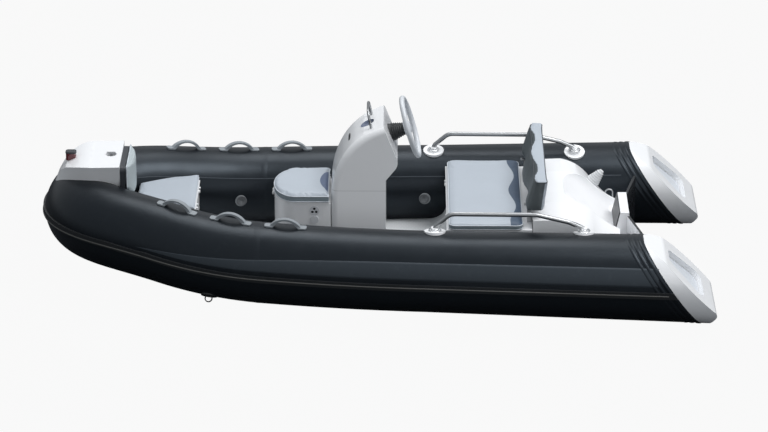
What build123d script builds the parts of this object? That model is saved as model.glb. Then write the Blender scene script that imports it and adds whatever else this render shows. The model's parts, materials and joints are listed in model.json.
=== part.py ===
"""Rigid inflatable boat, 3.8 m, in millimetres.

X runs forward, Y to port and Z up. The origin is amidships on the waterline.
"""

import os

from build123d import *

os.makedirs("parts", exist_ok=True)

FIT = 0.3
SOFT_FIT = 0.5
LIFT = 0.3
WALL = 6.0

# Buoyancy tubes: the port tube's axis, from the stern to the centreline at the bow.
TUBE_R = 226.4
TUBE_R_AFT = 245.0
AFT = Vector(-1950.0, 698.8, 246.8)
KNEE = Vector(-300.0, 631.6, 261.7)
BEND_1 = Vector(600.5, 557.1, 278.0)
BEND_2 = Vector(1155.7, 424.1, 336.1)
BOW_OUT = Vector(1428.4, 325.3, 387.3)
BOW_IN = Vector(1657.0, 255.0, 387.6)
TIP = Vector(1657.0, 0.0, 387.6)
SEAM_X = 650.0
RUN_DIR = (KNEE - AFT).normalized()
OUT_DIR = Vector(0, 0, 1).cross(RUN_DIR).normalized()
AFT_PLANE = Plane(origin=AFT, x_dir=OUT_DIR, z_dir=RUN_DIR)
KNEE_PLANE = Plane(origin=KNEE, x_dir=OUT_DIR, z_dir=RUN_DIR)
BETWEEN = KNEE.Y - TUBE_R
KNEE_CREST = KNEE.Z + TUBE_R
TIP_CREST = TIP.Z + TUBE_R

# End caps: the fabric's raked end, then the cap's bevel, its main face and its nose.
CAP_PLANE = Plane(origin=(-1655, 690, 250), x_dir=(0, 1, 0), z_dir=(-0.814, 0, 0.581))
CAP_BEVEL = Plane(origin=(-1500, 690, 478), x_dir=(0, 1, 0), z_dir=(-0.517, 0, 0.856))
CAP_FACE = Plane(origin=(-1769, 690, 250), x_dir=(0, 1, 0), z_dir=(-1, 0, 1))
CAP_NOSE = Plane(origin=(-1896, 690, 122), x_dir=(0, 1, 0), z_dir=(-0.917, 0, -0.399))
PAD_DEPTH = 38.0
PAD_T = 8.0
PAD_TOP = (-200.0, 84.0)
PAD_BOTTOM = (72.0, 168.0)
# Where the cap's two crests stand, and how far each is rounded.
CAP_BENDS = {-1604.0: 90.0, -1896.0: 45.0}

# Rub strake on the tubes' outer line.
STRAKE_H = 36.0
STRAKE_T = 11.0

# Hull sections: station, keel height, chine half-breadth, chine height, top height.
HULL_SECTIONS = [
    (-1450, -180, 470, 0, 85),
    (600, -180, 455, 10, 85),
    (1018, -180, 395, 45, 85),
]
STEM_SECTIONS = [
    (1018, -180, 395, 45, 85),
    (1150, -172, 340, 75, 110),
    (1300, -111, 240, 95, 130),
    (1420, -10, 140, 110, 150),
    (1540, 90, 30, 125, 155),
]
CHINE_W = 35.0
CHINE_DROP = 12.0
HULL_TOP = 85.0

# Sole and its cove up the bench's front.
DECK_Z = 110.0
DECK_AFT = -1384.7
DECK_FORE = 1015.0
COVE_R = 112.0

# Transom: the board, the clamp block and the two wings.
TRANSOM_AFT = -1440.0
TRANSOM_FORE = -1385.0
BOARD_TOP = 236.0
CLAMP_HALF = 150.0
CLAMP_TOP = 412.0
WING_T = 14.0
WING_TOP = 394.0
WING_TIP_X = -1512.0

# Aft deck: its flat top, the two humps beside the motor well, and the well's scoop.
POD_FORE = -884.0
POD_OUTER = BETWEEN + 45.0
POD_INNER = 225.0
POD_SECTIONS = [
    (-POD_OUTER, 498, 407, 240),
    (-POD_INNER, 512, 455, 340),
    (POD_INNER, 512, 455, 340),
    (POD_OUTER, 498, 407, 240),
]
SCOOP_SECTIONS = [
    (-1070, 520, 120, 12),
    (-1130, 520, 205, 80),
    (-1225, 480, 226, 142),
    (-1395, 408, 238, 160),
]

# Bench: box, lid and cushion, then the backrest on its brackets.
BENCH_FORE = -410.0
BENCH_AFT = -876.0
BENCH_HALF = BETWEEN - 13.0
BENCH_LID_Z = 425.0
BENCH_LID_T = 15.0
BENCH_LID_HALF = BETWEEN + 60.0
BENCH_TOP = 480.0
BENCH_TOP_HALF = BETWEEN + 80.0
BENCH_TOP_FORE = -404.0
BENCH_TOP_AFT = -838.0
BACK_PIVOT = (-866.0, 528.0)
BACK_FOOT = 545.0
BACK_HALF = 450.0
# Backrest sections: level, rear face, centre bulge, recess beside it, end lobe.
BACK_SECTIONS = [
    (BACK_FOOT, -938.0, -826.0, -856.0, -840.0),
    (732.0, -961.0, -888.0, -917.0, -898.0),
]
BRACKET_Y = 330.0
EAR_T = 8.0
EAR_R = 12.0
EAR_STEP = 20.0
PIN_R = 5.0
PIN_FIT = 0.05

# Lid hinges: each line's station and height, the box's face behind it, and where knuckles stand.
KNUCKLE_R = 6.0
KNUCKLE_MID = 15.0
KNUCKLE_END = 33.0
HINGE_PIN_R = 2.5
LEAF_T = 3.6
LEAF_H = 30.0
BENCH_HINGE = (-401.0, BENCH_LID_Z)
BENCH_HINGE_Y = [-250.0, 250.0]
SEAT_HINGE = (582.0, 478.0)
LOCKER_HINGE = (1011.0, 432.0)
LOCKER_HINGE_Y = [-120.0, 120.0]
# Hinge rows: the line, which way its box lies, and its knuckles' places across.
HINGES = [
    (BENCH_HINGE, -1, BENCH_HINGE_Y),
    (SEAT_HINGE, -1, [0.0]),
    (LOCKER_HINGE, 1, LOCKER_HINGE_Y),
]

# Console and the seat ahead of it.
CONSOLE_HALF = 190.0
CROWN_R = 40.0
SCOOP_PLANE = Plane(origin=(45, 0, 897), x_dir=(0, 1, 0), z_dir=(0.425, 0, 0.905))
HOOP_PLANE = Plane(origin=(18, 0, 888), x_dir=(0, 1, 0), z_dir=(0.98, 0, -0.2))
SEAT_AFT = 254.0
SEAT_NOSE_X = 455.0
SEAT_NOSE_R = 132.0
SEAT_BOX_AFT = 251.5
SEAT_BOX_FORE = 573.0
SEAT_BOX_HALF = 185.0
SEAT_LID_Z = SEAT_HINGE[1]
SEAT_LID_T = 12.0
SEAT_TOP = 540.0

# Bow locker: each corner's station, and its half-breadth before the tube's radius is taken off.
LOCKER_PLAN = [(1020, 448.4), (1120, 408.4), (1230, 348.4), (1330, 284.4)]
LOCKER_BASE = 150.0
LOCKER_LID_Z = 432.0
LOCKER_LID_T = 10.0
LOCKER_TOP = 480.0

# Bow step over the tubes' crest.
STEP_AFT = 1440.0
STEP_TOP = TIP_CREST + 89.0
STEP_FOOT = TIP_CREST - 94.0
CLEAT_X = 1500.0
CLEAT_DEPTH = 14.0
LIGHT_X = 1728.0
LIGHT_Z = STEP_TOP + 9.0

# Helm: the column leans and the wheel turns about it.
WHEEL_CENTRE = Vector(-198, 0, 874)
COLUMN_DIR = Vector(-0.957, 0, 0.29).normalized()
WHEEL_R = 168.0
RIM_R = 15.0
WHEEL_PLANE = Plane(origin=WHEEL_CENTRE, x_dir=(0, 1, 0), z_dir=COLUMN_DIR)

# Grab rails.
RAIL_Y = 593.0
RAIL_R = 12.5
RAIL_BASE_R = 60.0
RAIL_PATH = [
    (-335, 18),
    (-342, 36),
    (-420, 104),
    (-900, 100),
    (-1075, 57),
    (-1160, 18),
]
# One bend radius for each corner between the rail's ends.
RAIL_BENDS = (30.0, 70.0, 90.0, 60.0)

# Where fittings stand along the port tube's bent axis, as shares of its length from the knee.
HANDLES = [0.366, 0.514, 0.667]
VALVES = [0.012, 0.52]
TOW_RING = 0.548


def side_plane(x, y, z):
    """Return a lengthwise upright plane: local X points forward and local Y points up."""
    return Plane(origin=(x, y, z), x_dir=(1, 0, 0), z_dir=(0, -1, 0))


with BuildLine() as bow_line:
    bend_1 = TangentArc(KNEE, BEND_1, tangent=RUN_DIR)
    bend_2 = TangentArc(BEND_1, BEND_2, tangent=bend_1 % 1)
    Bezier(BEND_2, BOW_OUT, BOW_IN, TIP)
bow_axis = bow_line.wires()[0]

with BuildPart() as tube_run:
    with BuildSketch(AFT_PLANE):
        Circle(TUBE_R_AFT)
    with BuildSketch(KNEE_PLANE):
        Circle(TUBE_R)
    loft()
    with BuildSketch(KNEE_PLANE):
        Circle(TUBE_R)
    sweep(path=bow_axis)

with BuildPart() as tube_room:
    with BuildSketch(AFT_PLANE):
        Circle(TUBE_R_AFT + SOFT_FIT)
    with BuildSketch(KNEE_PLANE):
        Circle(TUBE_R + SOFT_FIT)
    loft()
    with BuildSketch(KNEE_PLANE):
        Circle(TUBE_R + SOFT_FIT)
    sweep(path=bow_axis)
    mirror(about=Plane.XZ)


with BuildPart() as port_tube:
    add(tube_run.part)
    split(bisect_by=Plane.YZ.offset(SEAM_X), keep=Keep.BOTTOM)
    split(bisect_by=CAP_PLANE, keep=Keep.BOTTOM)

with BuildPart() as starboard_tube:
    mirror(port_tube.part, about=Plane.XZ)

with BuildPart() as bow_tube:
    add(tube_run.part)
    split(bisect_by=Plane.YZ.offset(SEAM_X), keep=Keep.TOP)
    mirror(about=Plane.XZ)

# End cap, its pocket and the tread pad in it.
with BuildPart() as pocket:
    with BuildSketch(CAP_FACE.offset(-PAD_DEPTH)):
        Polygon(
            (-PAD_TOP[1], PAD_TOP[0]),
            (PAD_TOP[1], PAD_TOP[0]),
            (PAD_BOTTOM[1], PAD_BOTTOM[0]),
            (-PAD_BOTTOM[1], PAD_BOTTOM[0]),
            align=None,
        )
        fillet(vertices(), radius=48)
    extrude(amount=PAD_DEPTH + 60)

with BuildPart() as port_end_cap:
    add(tube_run.part)
    split(bisect_by=CAP_PLANE, keep=Keep.TOP)
    split(bisect_by=CAP_BEVEL, keep=Keep.BOTTOM)
    split(bisect_by=CAP_FACE, keep=Keep.BOTTOM)
    split(bisect_by=CAP_NOSE, keep=Keep.BOTTOM)
    for crest_x, bend in CAP_BENDS.items():
        fillet(
            [
                edge
                for edge in port_end_cap.edges().filter_by(GeomType.LINE)
                if abs(edge.center().X - crest_x) < 10
            ],
            radius=bend,
        )
    add(pocket.part, mode=Mode.SUBTRACT)

with BuildPart() as starboard_end_cap:
    mirror(port_end_cap.part, about=Plane.XZ)

with BuildPart() as port_step_pad:
    with BuildSketch(CAP_FACE.offset(FIT - PAD_DEPTH)):
        Polygon(
            (8 - PAD_TOP[1], PAD_TOP[0] + 8),
            (PAD_TOP[1] - 8, PAD_TOP[0] + 8),
            (PAD_BOTTOM[1] - 8, PAD_BOTTOM[0] - 8),
            (8 - PAD_BOTTOM[1], PAD_BOTTOM[0] - 8),
            align=None,
        )
        fillet(vertices(), radius=42)
    extrude(amount=PAD_T)

with BuildPart() as starboard_step_pad:
    mirror(port_step_pad.part, about=Plane.XZ)

# Rub strake: a flat moulding wrapped on the tube's outer line.
with BuildSketch(AFT_PLANE) as strake_aft:
    with Locations((TUBE_R_AFT + SOFT_FIT, 0)):
        Rectangle(2 * STRAKE_T, STRAKE_H)
    Circle(TUBE_R_AFT + SOFT_FIT, mode=Mode.SUBTRACT)

with BuildSketch(KNEE_PLANE) as strake_knee:
    with Locations((TUBE_R + SOFT_FIT, 0)):
        Rectangle(2 * STRAKE_T, STRAKE_H)
    Circle(TUBE_R + SOFT_FIT, mode=Mode.SUBTRACT)

with BuildPart() as port_rub_strake:
    loft(sections=[strake_aft.sketch.face(), strake_knee.sketch.face()])
    sweep(strake_knee.sketch, path=bow_axis)
    split(bisect_by=Plane.XZ, keep=Keep.BOTTOM)
    split(bisect_by=CAP_PLANE, keep=Keep.BOTTOM)

with BuildPart() as starboard_rub_strake:
    mirror(port_rub_strake.part, about=Plane.XZ)

# Hull and stem, under and between the tubes.
with BuildPart() as hull:
    for table in (HULL_SECTIONS, STEM_SECTIONS):
        for station, keel_z, chine_y, chine_z, top_z in table:
            with BuildSketch(Plane(origin=(station, 0, 0), x_dir=(0, 1, 0), z_dir=(1, 0, 0))):
                Polygon(
                    (0, keel_z),
                    (chine_y, chine_z - CHINE_DROP),
                    (chine_y + CHINE_W, chine_z),
                    (chine_y + CHINE_W, top_z),
                    (-chine_y - CHINE_W, top_z),
                    (-chine_y - CHINE_W, chine_z),
                    (-chine_y, chine_z - CHINE_DROP),
                    align=None,
                )
        loft(ruled=True)
    add(tube_room.part, mode=Mode.SUBTRACT)

with BuildPart() as deck:
    with BuildSketch(Plane.XZ):
        with BuildLine():
            Line((DECK_AFT, HULL_TOP + LIFT), (DECK_FORE, HULL_TOP + LIFT))
            Line((DECK_FORE, HULL_TOP + LIFT), (DECK_FORE, DECK_Z))
            Line((DECK_FORE, DECK_Z), (BENCH_FORE + COVE_R, DECK_Z))
            RadiusArc((BENCH_FORE + COVE_R, DECK_Z), (BENCH_FORE + FIT, DECK_Z + COVE_R), COVE_R)
            Line((BENCH_FORE + FIT, DECK_Z + COVE_R), (BENCH_FORE + FIT, DECK_Z))
            Line((BENCH_FORE + FIT, DECK_Z), (DECK_AFT, DECK_Z))
            Line((DECK_AFT, DECK_Z), (DECK_AFT, HULL_TOP + LIFT))
        make_face()
    extrude(amount=480, both=True)
    add(tube_room.part, mode=Mode.SUBTRACT)

# Transom: board, clamp block and wings that sweep aft to the tubes.
with BuildPart() as transom:
    with BuildSketch(Plane.XZ):
        Polygon(
            (TRANSOM_AFT, HULL_TOP + LIFT),
            (TRANSOM_FORE, HULL_TOP + LIFT),
            (TRANSOM_FORE, BOARD_TOP),
            (TRANSOM_AFT, BOARD_TOP),
            align=None,
        )
    extrude(amount=430, both=True)
    with BuildSketch(Plane.XZ):
        Polygon(
            (TRANSOM_AFT, BOARD_TOP),
            (TRANSOM_FORE, BOARD_TOP),
            (TRANSOM_FORE + 20, CLAMP_TOP - 115),
            (TRANSOM_FORE - 5, CLAMP_TOP),
            (TRANSOM_AFT, CLAMP_TOP),
            align=None,
        )
    extrude(amount=CLAMP_HALF, both=True)
    with BuildSketch(Plane.XY.offset(HULL_TOP + LIFT)):
        for side in (-1, 1):
            Polygon(
                (TRANSOM_AFT, side * (CLAMP_HALF - 10)),
                (WING_TIP_X, side * 440),
                (WING_TIP_X + WING_T, side * 440),
                (TRANSOM_AFT + WING_T, side * (CLAMP_HALF - 10)),
                align=None,
            )
    extrude(amount=WING_TOP - HULL_TOP - LIFT)
    add(tube_room.part, mode=Mode.SUBTRACT)

with BuildPart() as clamp_plate:
    with BuildSketch(Plane.XZ):
        Polygon(
            (TRANSOM_FORE + 20 + FIT, CLAMP_TOP - 115),
            (TRANSOM_FORE + 26 + FIT, CLAMP_TOP - 115),
            (TRANSOM_FORE + 1 + FIT, CLAMP_TOP),
            (TRANSOM_FORE - 5 + FIT, CLAMP_TOP),
            align=None,
        )
    extrude(amount=CLAMP_HALF - 5, both=True)

# Aft deck: humps beside a scooped motor well.
with BuildPart() as well_scoop:
    for station, centre_z, half_breadth, depth in SCOOP_SECTIONS:
        with BuildSketch(Plane(origin=(station, 0, centre_z), x_dir=(0, 1, 0), z_dir=(-1, 0, 0))):
            Ellipse(half_breadth, depth)
    loft()

with BuildPart() as aft_deck:
    for half_y, top_z, knee_z, foot_z in POD_SECTIONS:
        with BuildSketch(Plane.XZ.offset(-half_y)):
            with BuildLine():
                Line((POD_FORE, DECK_Z + LIFT), (POD_FORE, top_z - 8))
                Line((POD_FORE, top_z - 8), (-1070, top_z))
                ThreePointArc((-1070, top_z), (-1155, (top_z + knee_z) / 2 + 14), (-1225, knee_z))
                ThreePointArc((-1225, knee_z), (-1300, (foot_z + knee_z) / 2 - 6), (DECK_AFT, foot_z))
                Line((DECK_AFT, foot_z), (DECK_AFT, DECK_Z + LIFT))
                Line((DECK_AFT, DECK_Z + LIFT), (POD_FORE, DECK_Z + LIFT))
            make_face()
    loft(ruled=True)
    add(well_scoop.part, mode=Mode.SUBTRACT)
    add(transom.part, mode=Mode.SUBTRACT)
    add(clamp_plate.part, mode=Mode.SUBTRACT)
    add(tube_room.part, mode=Mode.SUBTRACT)

BOOT_PLANE = Plane(origin=(-1236, -300, 396), x_dir=(0, 1, 0), z_dir=(-0.62, 0, 0.785))
with BuildPart() as cable_boot:
    with BuildSketch(BOOT_PLANE):
        Circle(44)
    with BuildSketch(BOOT_PLANE.offset(112)):
        Circle(13)
    loft(ruled=True)
    add(aft_deck.part, mode=Mode.SUBTRACT)

with BuildPart() as stern_eyes:
    for side in (-1, 1):
        with BuildLine(side_plane(-1352, side * 330, 292)) as eye_path:
            FilletPolyline((-22, 0), (-22, 62), (22, 62), (22, 0), radius=20)
        with BuildSketch(Plane(origin=eye_path.line @ 0, z_dir=eye_path.line % 0)):
            Circle(4)
        sweep(path=eye_path.line)
    add(aft_deck.part, mode=Mode.SUBTRACT)

# Console, solid down to the sole, with a scoop under its grab hoop.
with BuildPart() as console:
    with BuildSketch(Plane.XZ):
        with BuildLine():
            Line((-60, DECK_Z + LIFT), (250, DECK_Z + LIFT))
            Line((250, DECK_Z + LIFT), (250, 470))
            ThreePointArc((250, 470), (237, 620), (184, 758))
            ThreePointArc((184, 758), (132, 829), (66, 887))
            Line((66, 887), (-47, 940))
            Line((-47, 940), (-122, 752))
            ThreePointArc((-122, 752), (-126, 720), (-114, 690))
            Line((-114, 690), (-60, 622))
            Line((-60, 622), (-60, DECK_Z + LIFT))
        make_face()
    extrude(amount=CONSOLE_HALF, both=True)
    crown = console.edges().filter_by(lambda e: abs(abs(e.center().Y) - CONSOLE_HALF) < 1)
    fillet([e for e in crown if e.center().Z > 560 and e.center().X > 50], radius=CROWN_R)
    with BuildSketch(SCOOP_PLANE.offset(-14)):
        Circle(42)
    extrude(amount=60, mode=Mode.SUBTRACT)

with BuildPart() as console_hoop:
    with BuildLine(HOOP_PLANE) as hoop_path:
        FilletPolyline((-104, 0), (-104, 112), (104, 112), (104, 0), radius=52)
    with BuildSketch(Plane(origin=hoop_path.line @ 0, z_dir=hoop_path.line % 0)):
        Circle(7.5)
    sweep(path=hoop_path.line)
    add(console.part, mode=Mode.SUBTRACT)

# Seat ahead of the console: hollow box, hinged lid, cushion.
with BuildPart() as console_seat_box:
    with BuildSketch(Plane.XY.offset(DECK_Z + LIFT)):
        with Locations((SEAT_NOSE_X, 0)):
            Ellipse(SEAT_NOSE_R - 10, SEAT_BOX_HALF)
        with Locations((SEAT_BOX_AFT, 0)):
            Rectangle(SEAT_NOSE_X - SEAT_BOX_AFT, 2 * SEAT_BOX_HALF, align=(Align.MIN, Align.CENTER))
    extrude(amount=SEAT_LID_Z - DECK_Z - 2 * LIFT)
    split(bisect_by=Plane.YZ.offset(SEAT_BOX_FORE), keep=Keep.BOTTOM)
    with BuildSketch(Plane.XY.offset(DECK_Z + WALL)):
        with Locations((SEAT_NOSE_X, 0)):
            Ellipse(SEAT_NOSE_R - 10 - 2 * WALL, SEAT_BOX_HALF - WALL)
        with Locations((SEAT_BOX_AFT + WALL, 0)):
            Rectangle(
                SEAT_NOSE_X - SEAT_BOX_AFT - WALL,
                2 * (SEAT_BOX_HALF - WALL),
                align=(Align.MIN, Align.CENTER),
            )
    extrude(amount=SEAT_LID_Z - DECK_Z, mode=Mode.SUBTRACT)

with BuildPart() as console_seat_lid:
    with BuildSketch(Plane.XY.offset(SEAT_LID_Z)):
        with Locations((SEAT_NOSE_X, 0)):
            Ellipse(SEAT_NOSE_R - 15, SEAT_BOX_HALF + 5)
        with Locations((SEAT_AFT + 4, 0)):
            Rectangle(
                SEAT_NOSE_X - SEAT_AFT - 4, 2 * SEAT_BOX_HALF + 10, align=(Align.MIN, Align.CENTER)
            )
        with Locations((SEAT_NOSE_X, 0)):
            Rectangle(SEAT_HINGE[0] - SEAT_NOSE_X, 2 * KNUCKLE_END, align=(Align.MIN, Align.CENTER))
    extrude(amount=SEAT_LID_T)
    with BuildSketch(side_plane(SEAT_HINGE[0], 0, SEAT_HINGE[1])):
        Circle(KNUCKLE_R)
    extrude(amount=KNUCKLE_END, both=True)
    with BuildSketch(side_plane(SEAT_HINGE[0], 0, SEAT_HINGE[1])):
        Rectangle(2 * KNUCKLE_R + 2, 2 * KNUCKLE_R + 2)
    extrude(amount=KNUCKLE_MID + 0.5, both=True, mode=Mode.SUBTRACT)
    with BuildSketch(side_plane(SEAT_HINGE[0], 0, SEAT_HINGE[1])):
        Circle(HINGE_PIN_R + PIN_FIT)
    extrude(amount=KNUCKLE_END + 1, both=True, mode=Mode.SUBTRACT)

with BuildPart() as console_cushion:
    with BuildSketch(Plane.XY.offset(SEAT_LID_Z + SEAT_LID_T + FIT)):
        with Locations((SEAT_NOSE_X, 0)):
            Ellipse(SEAT_NOSE_R, SEAT_BOX_HALF + 30)
        with Locations((SEAT_AFT, 0)):
            Rectangle(SEAT_NOSE_X - SEAT_AFT, 2 * SEAT_BOX_HALF + 60, align=(Align.MIN, Align.CENTER))
    extrude(amount=SEAT_TOP - SEAT_LID_Z - SEAT_LID_T - FIT)
    fillet(console_cushion.faces().sort_by(Axis.Z)[-1].edges(), radius=12)

with BuildPart() as seat_vent:
    with BuildSketch(Plane.XZ.offset(-SEAT_BOX_HALF - FIT)):
        with Locations((344, 436)):
            Circle(28)
        with Locations((344, 448), (333, 429), (355, 429)):
            Circle(8, mode=Mode.SUBTRACT)
    extrude(amount=-3)
    with BuildSketch(Plane.XZ.offset(-SEAT_BOX_HALF - FIT)):
        with Locations((344, 382)):
            Circle(23)
    extrude(amount=-9)

# Stern bench.
with BuildPart() as bench_box:
    with BuildSketch(Plane.XY.offset(DECK_Z + LIFT)):
        with Locations((BENCH_AFT, 0)):
            Rectangle(BENCH_FORE - BENCH_AFT, 2 * BENCH_HALF, align=(Align.MIN, Align.CENTER))
    extrude(amount=BENCH_LID_Z - DECK_Z - 2 * LIFT)
    with BuildSketch(Plane.XY.offset(DECK_Z + WALL)):
        with Locations((BENCH_AFT + WALL, 0)):
            Rectangle(
                BENCH_FORE - BENCH_AFT - 2 * WALL,
                2 * (BENCH_HALF - WALL),
                align=(Align.MIN, Align.CENTER),
            )
    extrude(amount=BENCH_LID_Z - DECK_Z, mode=Mode.SUBTRACT)

with BuildPart() as bench_lid:
    with BuildSketch(Plane.XY.offset(BENCH_LID_Z)):
        with Locations((BENCH_AFT - 4, 0)):
            Rectangle(BENCH_HINGE[0] - BENCH_AFT + 3, 2 * BENCH_LID_HALF, align=(Align.MIN, Align.CENTER))
    extrude(amount=BENCH_LID_T)
    for hinge_y in BENCH_HINGE_Y:
        with BuildSketch(side_plane(BENCH_HINGE[0], hinge_y, BENCH_HINGE[1])):
            Circle(KNUCKLE_R)
        extrude(amount=KNUCKLE_END, both=True)
        with BuildSketch(side_plane(BENCH_HINGE[0], hinge_y, BENCH_HINGE[1])):
            Rectangle(2 * KNUCKLE_R + 2, 2 * KNUCKLE_R + 2)
        extrude(amount=KNUCKLE_MID + 0.5, both=True, mode=Mode.SUBTRACT)
        with BuildSketch(side_plane(BENCH_HINGE[0], hinge_y, BENCH_HINGE[1])):
            Circle(HINGE_PIN_R + PIN_FIT)
        extrude(amount=KNUCKLE_END + 1, both=True, mode=Mode.SUBTRACT)

with BuildPart() as bench_cushion:
    with BuildSketch(Plane.XY.offset(BENCH_LID_Z + BENCH_LID_T + FIT)):
        with Locations((BENCH_TOP_AFT, 0)):
            Rectangle(BENCH_TOP_FORE - BENCH_TOP_AFT, 2 * BENCH_TOP_HALF, align=(Align.MIN, Align.CENTER))
        fillet(vertices(), radius=40)
    extrude(amount=BENCH_TOP - BENCH_LID_Z - BENCH_LID_T - FIT)
    fillet(bench_cushion.faces().sort_by(Axis.Z)[-1].edges(), radius=12)

# Backrest: a bolster with a wavy front, on barrels that turn on the brackets' pins.
with BuildPart() as backrest:
    for level, rear_x, bulge_x, recess_x, end_x in BACK_SECTIONS:
        outer_x = (end_x + recess_x) / 2
        inner_x = (bulge_x + recess_x) / 2
        with BuildSketch(Plane.XY.offset(level)):
            with BuildLine():
                Line((rear_x, -BACK_HALF), (rear_x, BACK_HALF))
                Line((rear_x, BACK_HALF), (end_x - 6, BACK_HALF))
                ThreePointArc((end_x - 6, BACK_HALF), (end_x, 385), (outer_x, 315))
                ThreePointArc((outer_x, 315), (recess_x, 225), (inner_x, 125))
                ThreePointArc((inner_x, 125), (bulge_x, 0), (inner_x, -125))
                ThreePointArc((inner_x, -125), (recess_x, -225), (outer_x, -315))
                ThreePointArc((outer_x, -315), (end_x, -385), (end_x - 6, -BACK_HALF))
                Line((end_x - 6, -BACK_HALF), (rear_x, -BACK_HALF))
            make_face()
    loft(ruled=True)

with BuildPart() as backrest_frame:
    for side_y in (-BRACKET_Y, BRACKET_Y):
        with BuildSketch(side_plane(BACK_PIVOT[0], side_y, BACK_PIVOT[1])):
            Circle(9)
            Rectangle(12, BACK_FOOT - BACK_PIVOT[1] - FIT, align=(Align.CENTER, Align.MIN))
            with Locations((0, BACK_FOOT - BACK_PIVOT[1] - FIT)):
                Rectangle(60, 5, align=(Align.CENTER, Align.MAX))
            Circle(PIN_R + PIN_FIT, mode=Mode.SUBTRACT)
        extrude(amount=13, both=True)

with BuildPart() as back_brackets:
    for side_y in (-BRACKET_Y, BRACKET_Y):
        for ear_y in (-EAR_STEP, EAR_STEP):
            with BuildSketch(side_plane(BACK_PIVOT[0], side_y + ear_y, 0)):
                with Locations((0, BACK_PIVOT[1])):
                    Circle(EAR_R)
                with Locations((0, BENCH_LID_Z + BENCH_LID_T + FIT)):
                    Rectangle(
                        2 * EAR_R,
                        BACK_PIVOT[1] - BENCH_LID_Z - BENCH_LID_T - FIT,
                        align=(Align.CENTER, Align.MIN),
                    )
            extrude(amount=EAR_T / 2, both=True)
        with BuildSketch(side_plane(BACK_PIVOT[0], side_y, BACK_PIVOT[1])):
            Circle(PIN_R)
        extrude(amount=EAR_STEP + EAR_T / 2, both=True)

# Bow: locker with its lid and cushion, then the step moulding over the tubes and what it carries.
with BuildPart() as bow_locker:
    with BuildSketch(Plane.XY.offset(LOCKER_BASE + LIFT)):
        Polygon(
            *[(station, half - TUBE_R) for station, half in LOCKER_PLAN],
            *[(station, TUBE_R - half) for station, half in reversed(LOCKER_PLAN)],
            align=None,
        )
    extrude(amount=LOCKER_LID_Z - LOCKER_BASE - 2 * LIFT)
    with BuildSketch(Plane.XY.offset(LOCKER_BASE + WALL)):
        Polygon(
            *[(station, half - TUBE_R) for station, half in LOCKER_PLAN],
            *[(station, TUBE_R - half) for station, half in reversed(LOCKER_PLAN)],
            align=None,
        )
        offset(amount=-WALL, kind=Kind.INTERSECTION)
    extrude(amount=LOCKER_LID_Z - LOCKER_BASE, mode=Mode.SUBTRACT)

with BuildPart() as bow_locker_lid:
    with BuildSketch(Plane.XY.offset(LOCKER_LID_Z)):
        Polygon((1014, 244), (1200, 186), (1356, 92), (1356, -92), (1200, -186), (1014, -244), align=None)
    extrude(amount=LOCKER_LID_T)
    add(tube_room.part, mode=Mode.SUBTRACT)
    for hinge_y in LOCKER_HINGE_Y:
        with BuildSketch(side_plane(LOCKER_HINGE[0], hinge_y, LOCKER_HINGE[1])):
            Circle(KNUCKLE_R)
        extrude(amount=KNUCKLE_END, both=True)
        with BuildSketch(side_plane(LOCKER_HINGE[0], hinge_y, LOCKER_HINGE[1])):
            Rectangle(2 * KNUCKLE_R + 2, 2 * KNUCKLE_R + 2)
        extrude(amount=KNUCKLE_MID + 0.5, both=True, mode=Mode.SUBTRACT)
        with BuildSketch(side_plane(LOCKER_HINGE[0], hinge_y, LOCKER_HINGE[1])):
            Circle(HINGE_PIN_R + PIN_FIT)
        extrude(amount=KNUCKLE_END + 1, both=True, mode=Mode.SUBTRACT)

with BuildPart() as bow_cushion:
    with BuildSketch(Plane.XY.offset(LOCKER_LID_Z + LOCKER_LID_T + FIT)):
        Polygon((1014, 246), (1200, 192), (1356, 104), (1356, -104), (1200, -192), (1014, -246), align=None)
    with BuildSketch(Plane.XY.offset(LOCKER_TOP)):
        Polygon((1010, 252), (1200, 214), (1356, 128), (1356, -128), (1200, -214), (1010, -252), align=None)
    loft(ruled=True)
    add(tube_room.part, mode=Mode.SUBTRACT)

with BuildPart() as lashing_eye:
    with BuildSketch(Plane.YZ.offset(1020 - FIT)):
        with Locations((0, 386)):
            Circle(11)
            Circle(6.5, mode=Mode.SUBTRACT)
            with Locations((0, 11)):
                Rectangle(24, 12)
    extrude(amount=-5)

# Hinge pins, fixed knuckles and leaves: the lids turn on these.
with BuildPart() as lid_hinges:
    for (hinge_x, hinge_z), toward_box, hinge_ys in HINGES:
        for hinge_y in hinge_ys:
            with BuildSketch(side_plane(hinge_x, hinge_y, hinge_z)):
                Circle(KNUCKLE_R)
                with Locations((toward_box * (9 - FIT - LEAF_T / 2), -FIT)):
                    Rectangle(LEAF_T, LEAF_H, align=(Align.CENTER, Align.MAX))
            extrude(amount=KNUCKLE_MID, both=True)
            with BuildSketch(side_plane(hinge_x, hinge_y, hinge_z)):
                Circle(HINGE_PIN_R)
            extrude(amount=KNUCKLE_END, both=True)

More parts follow.
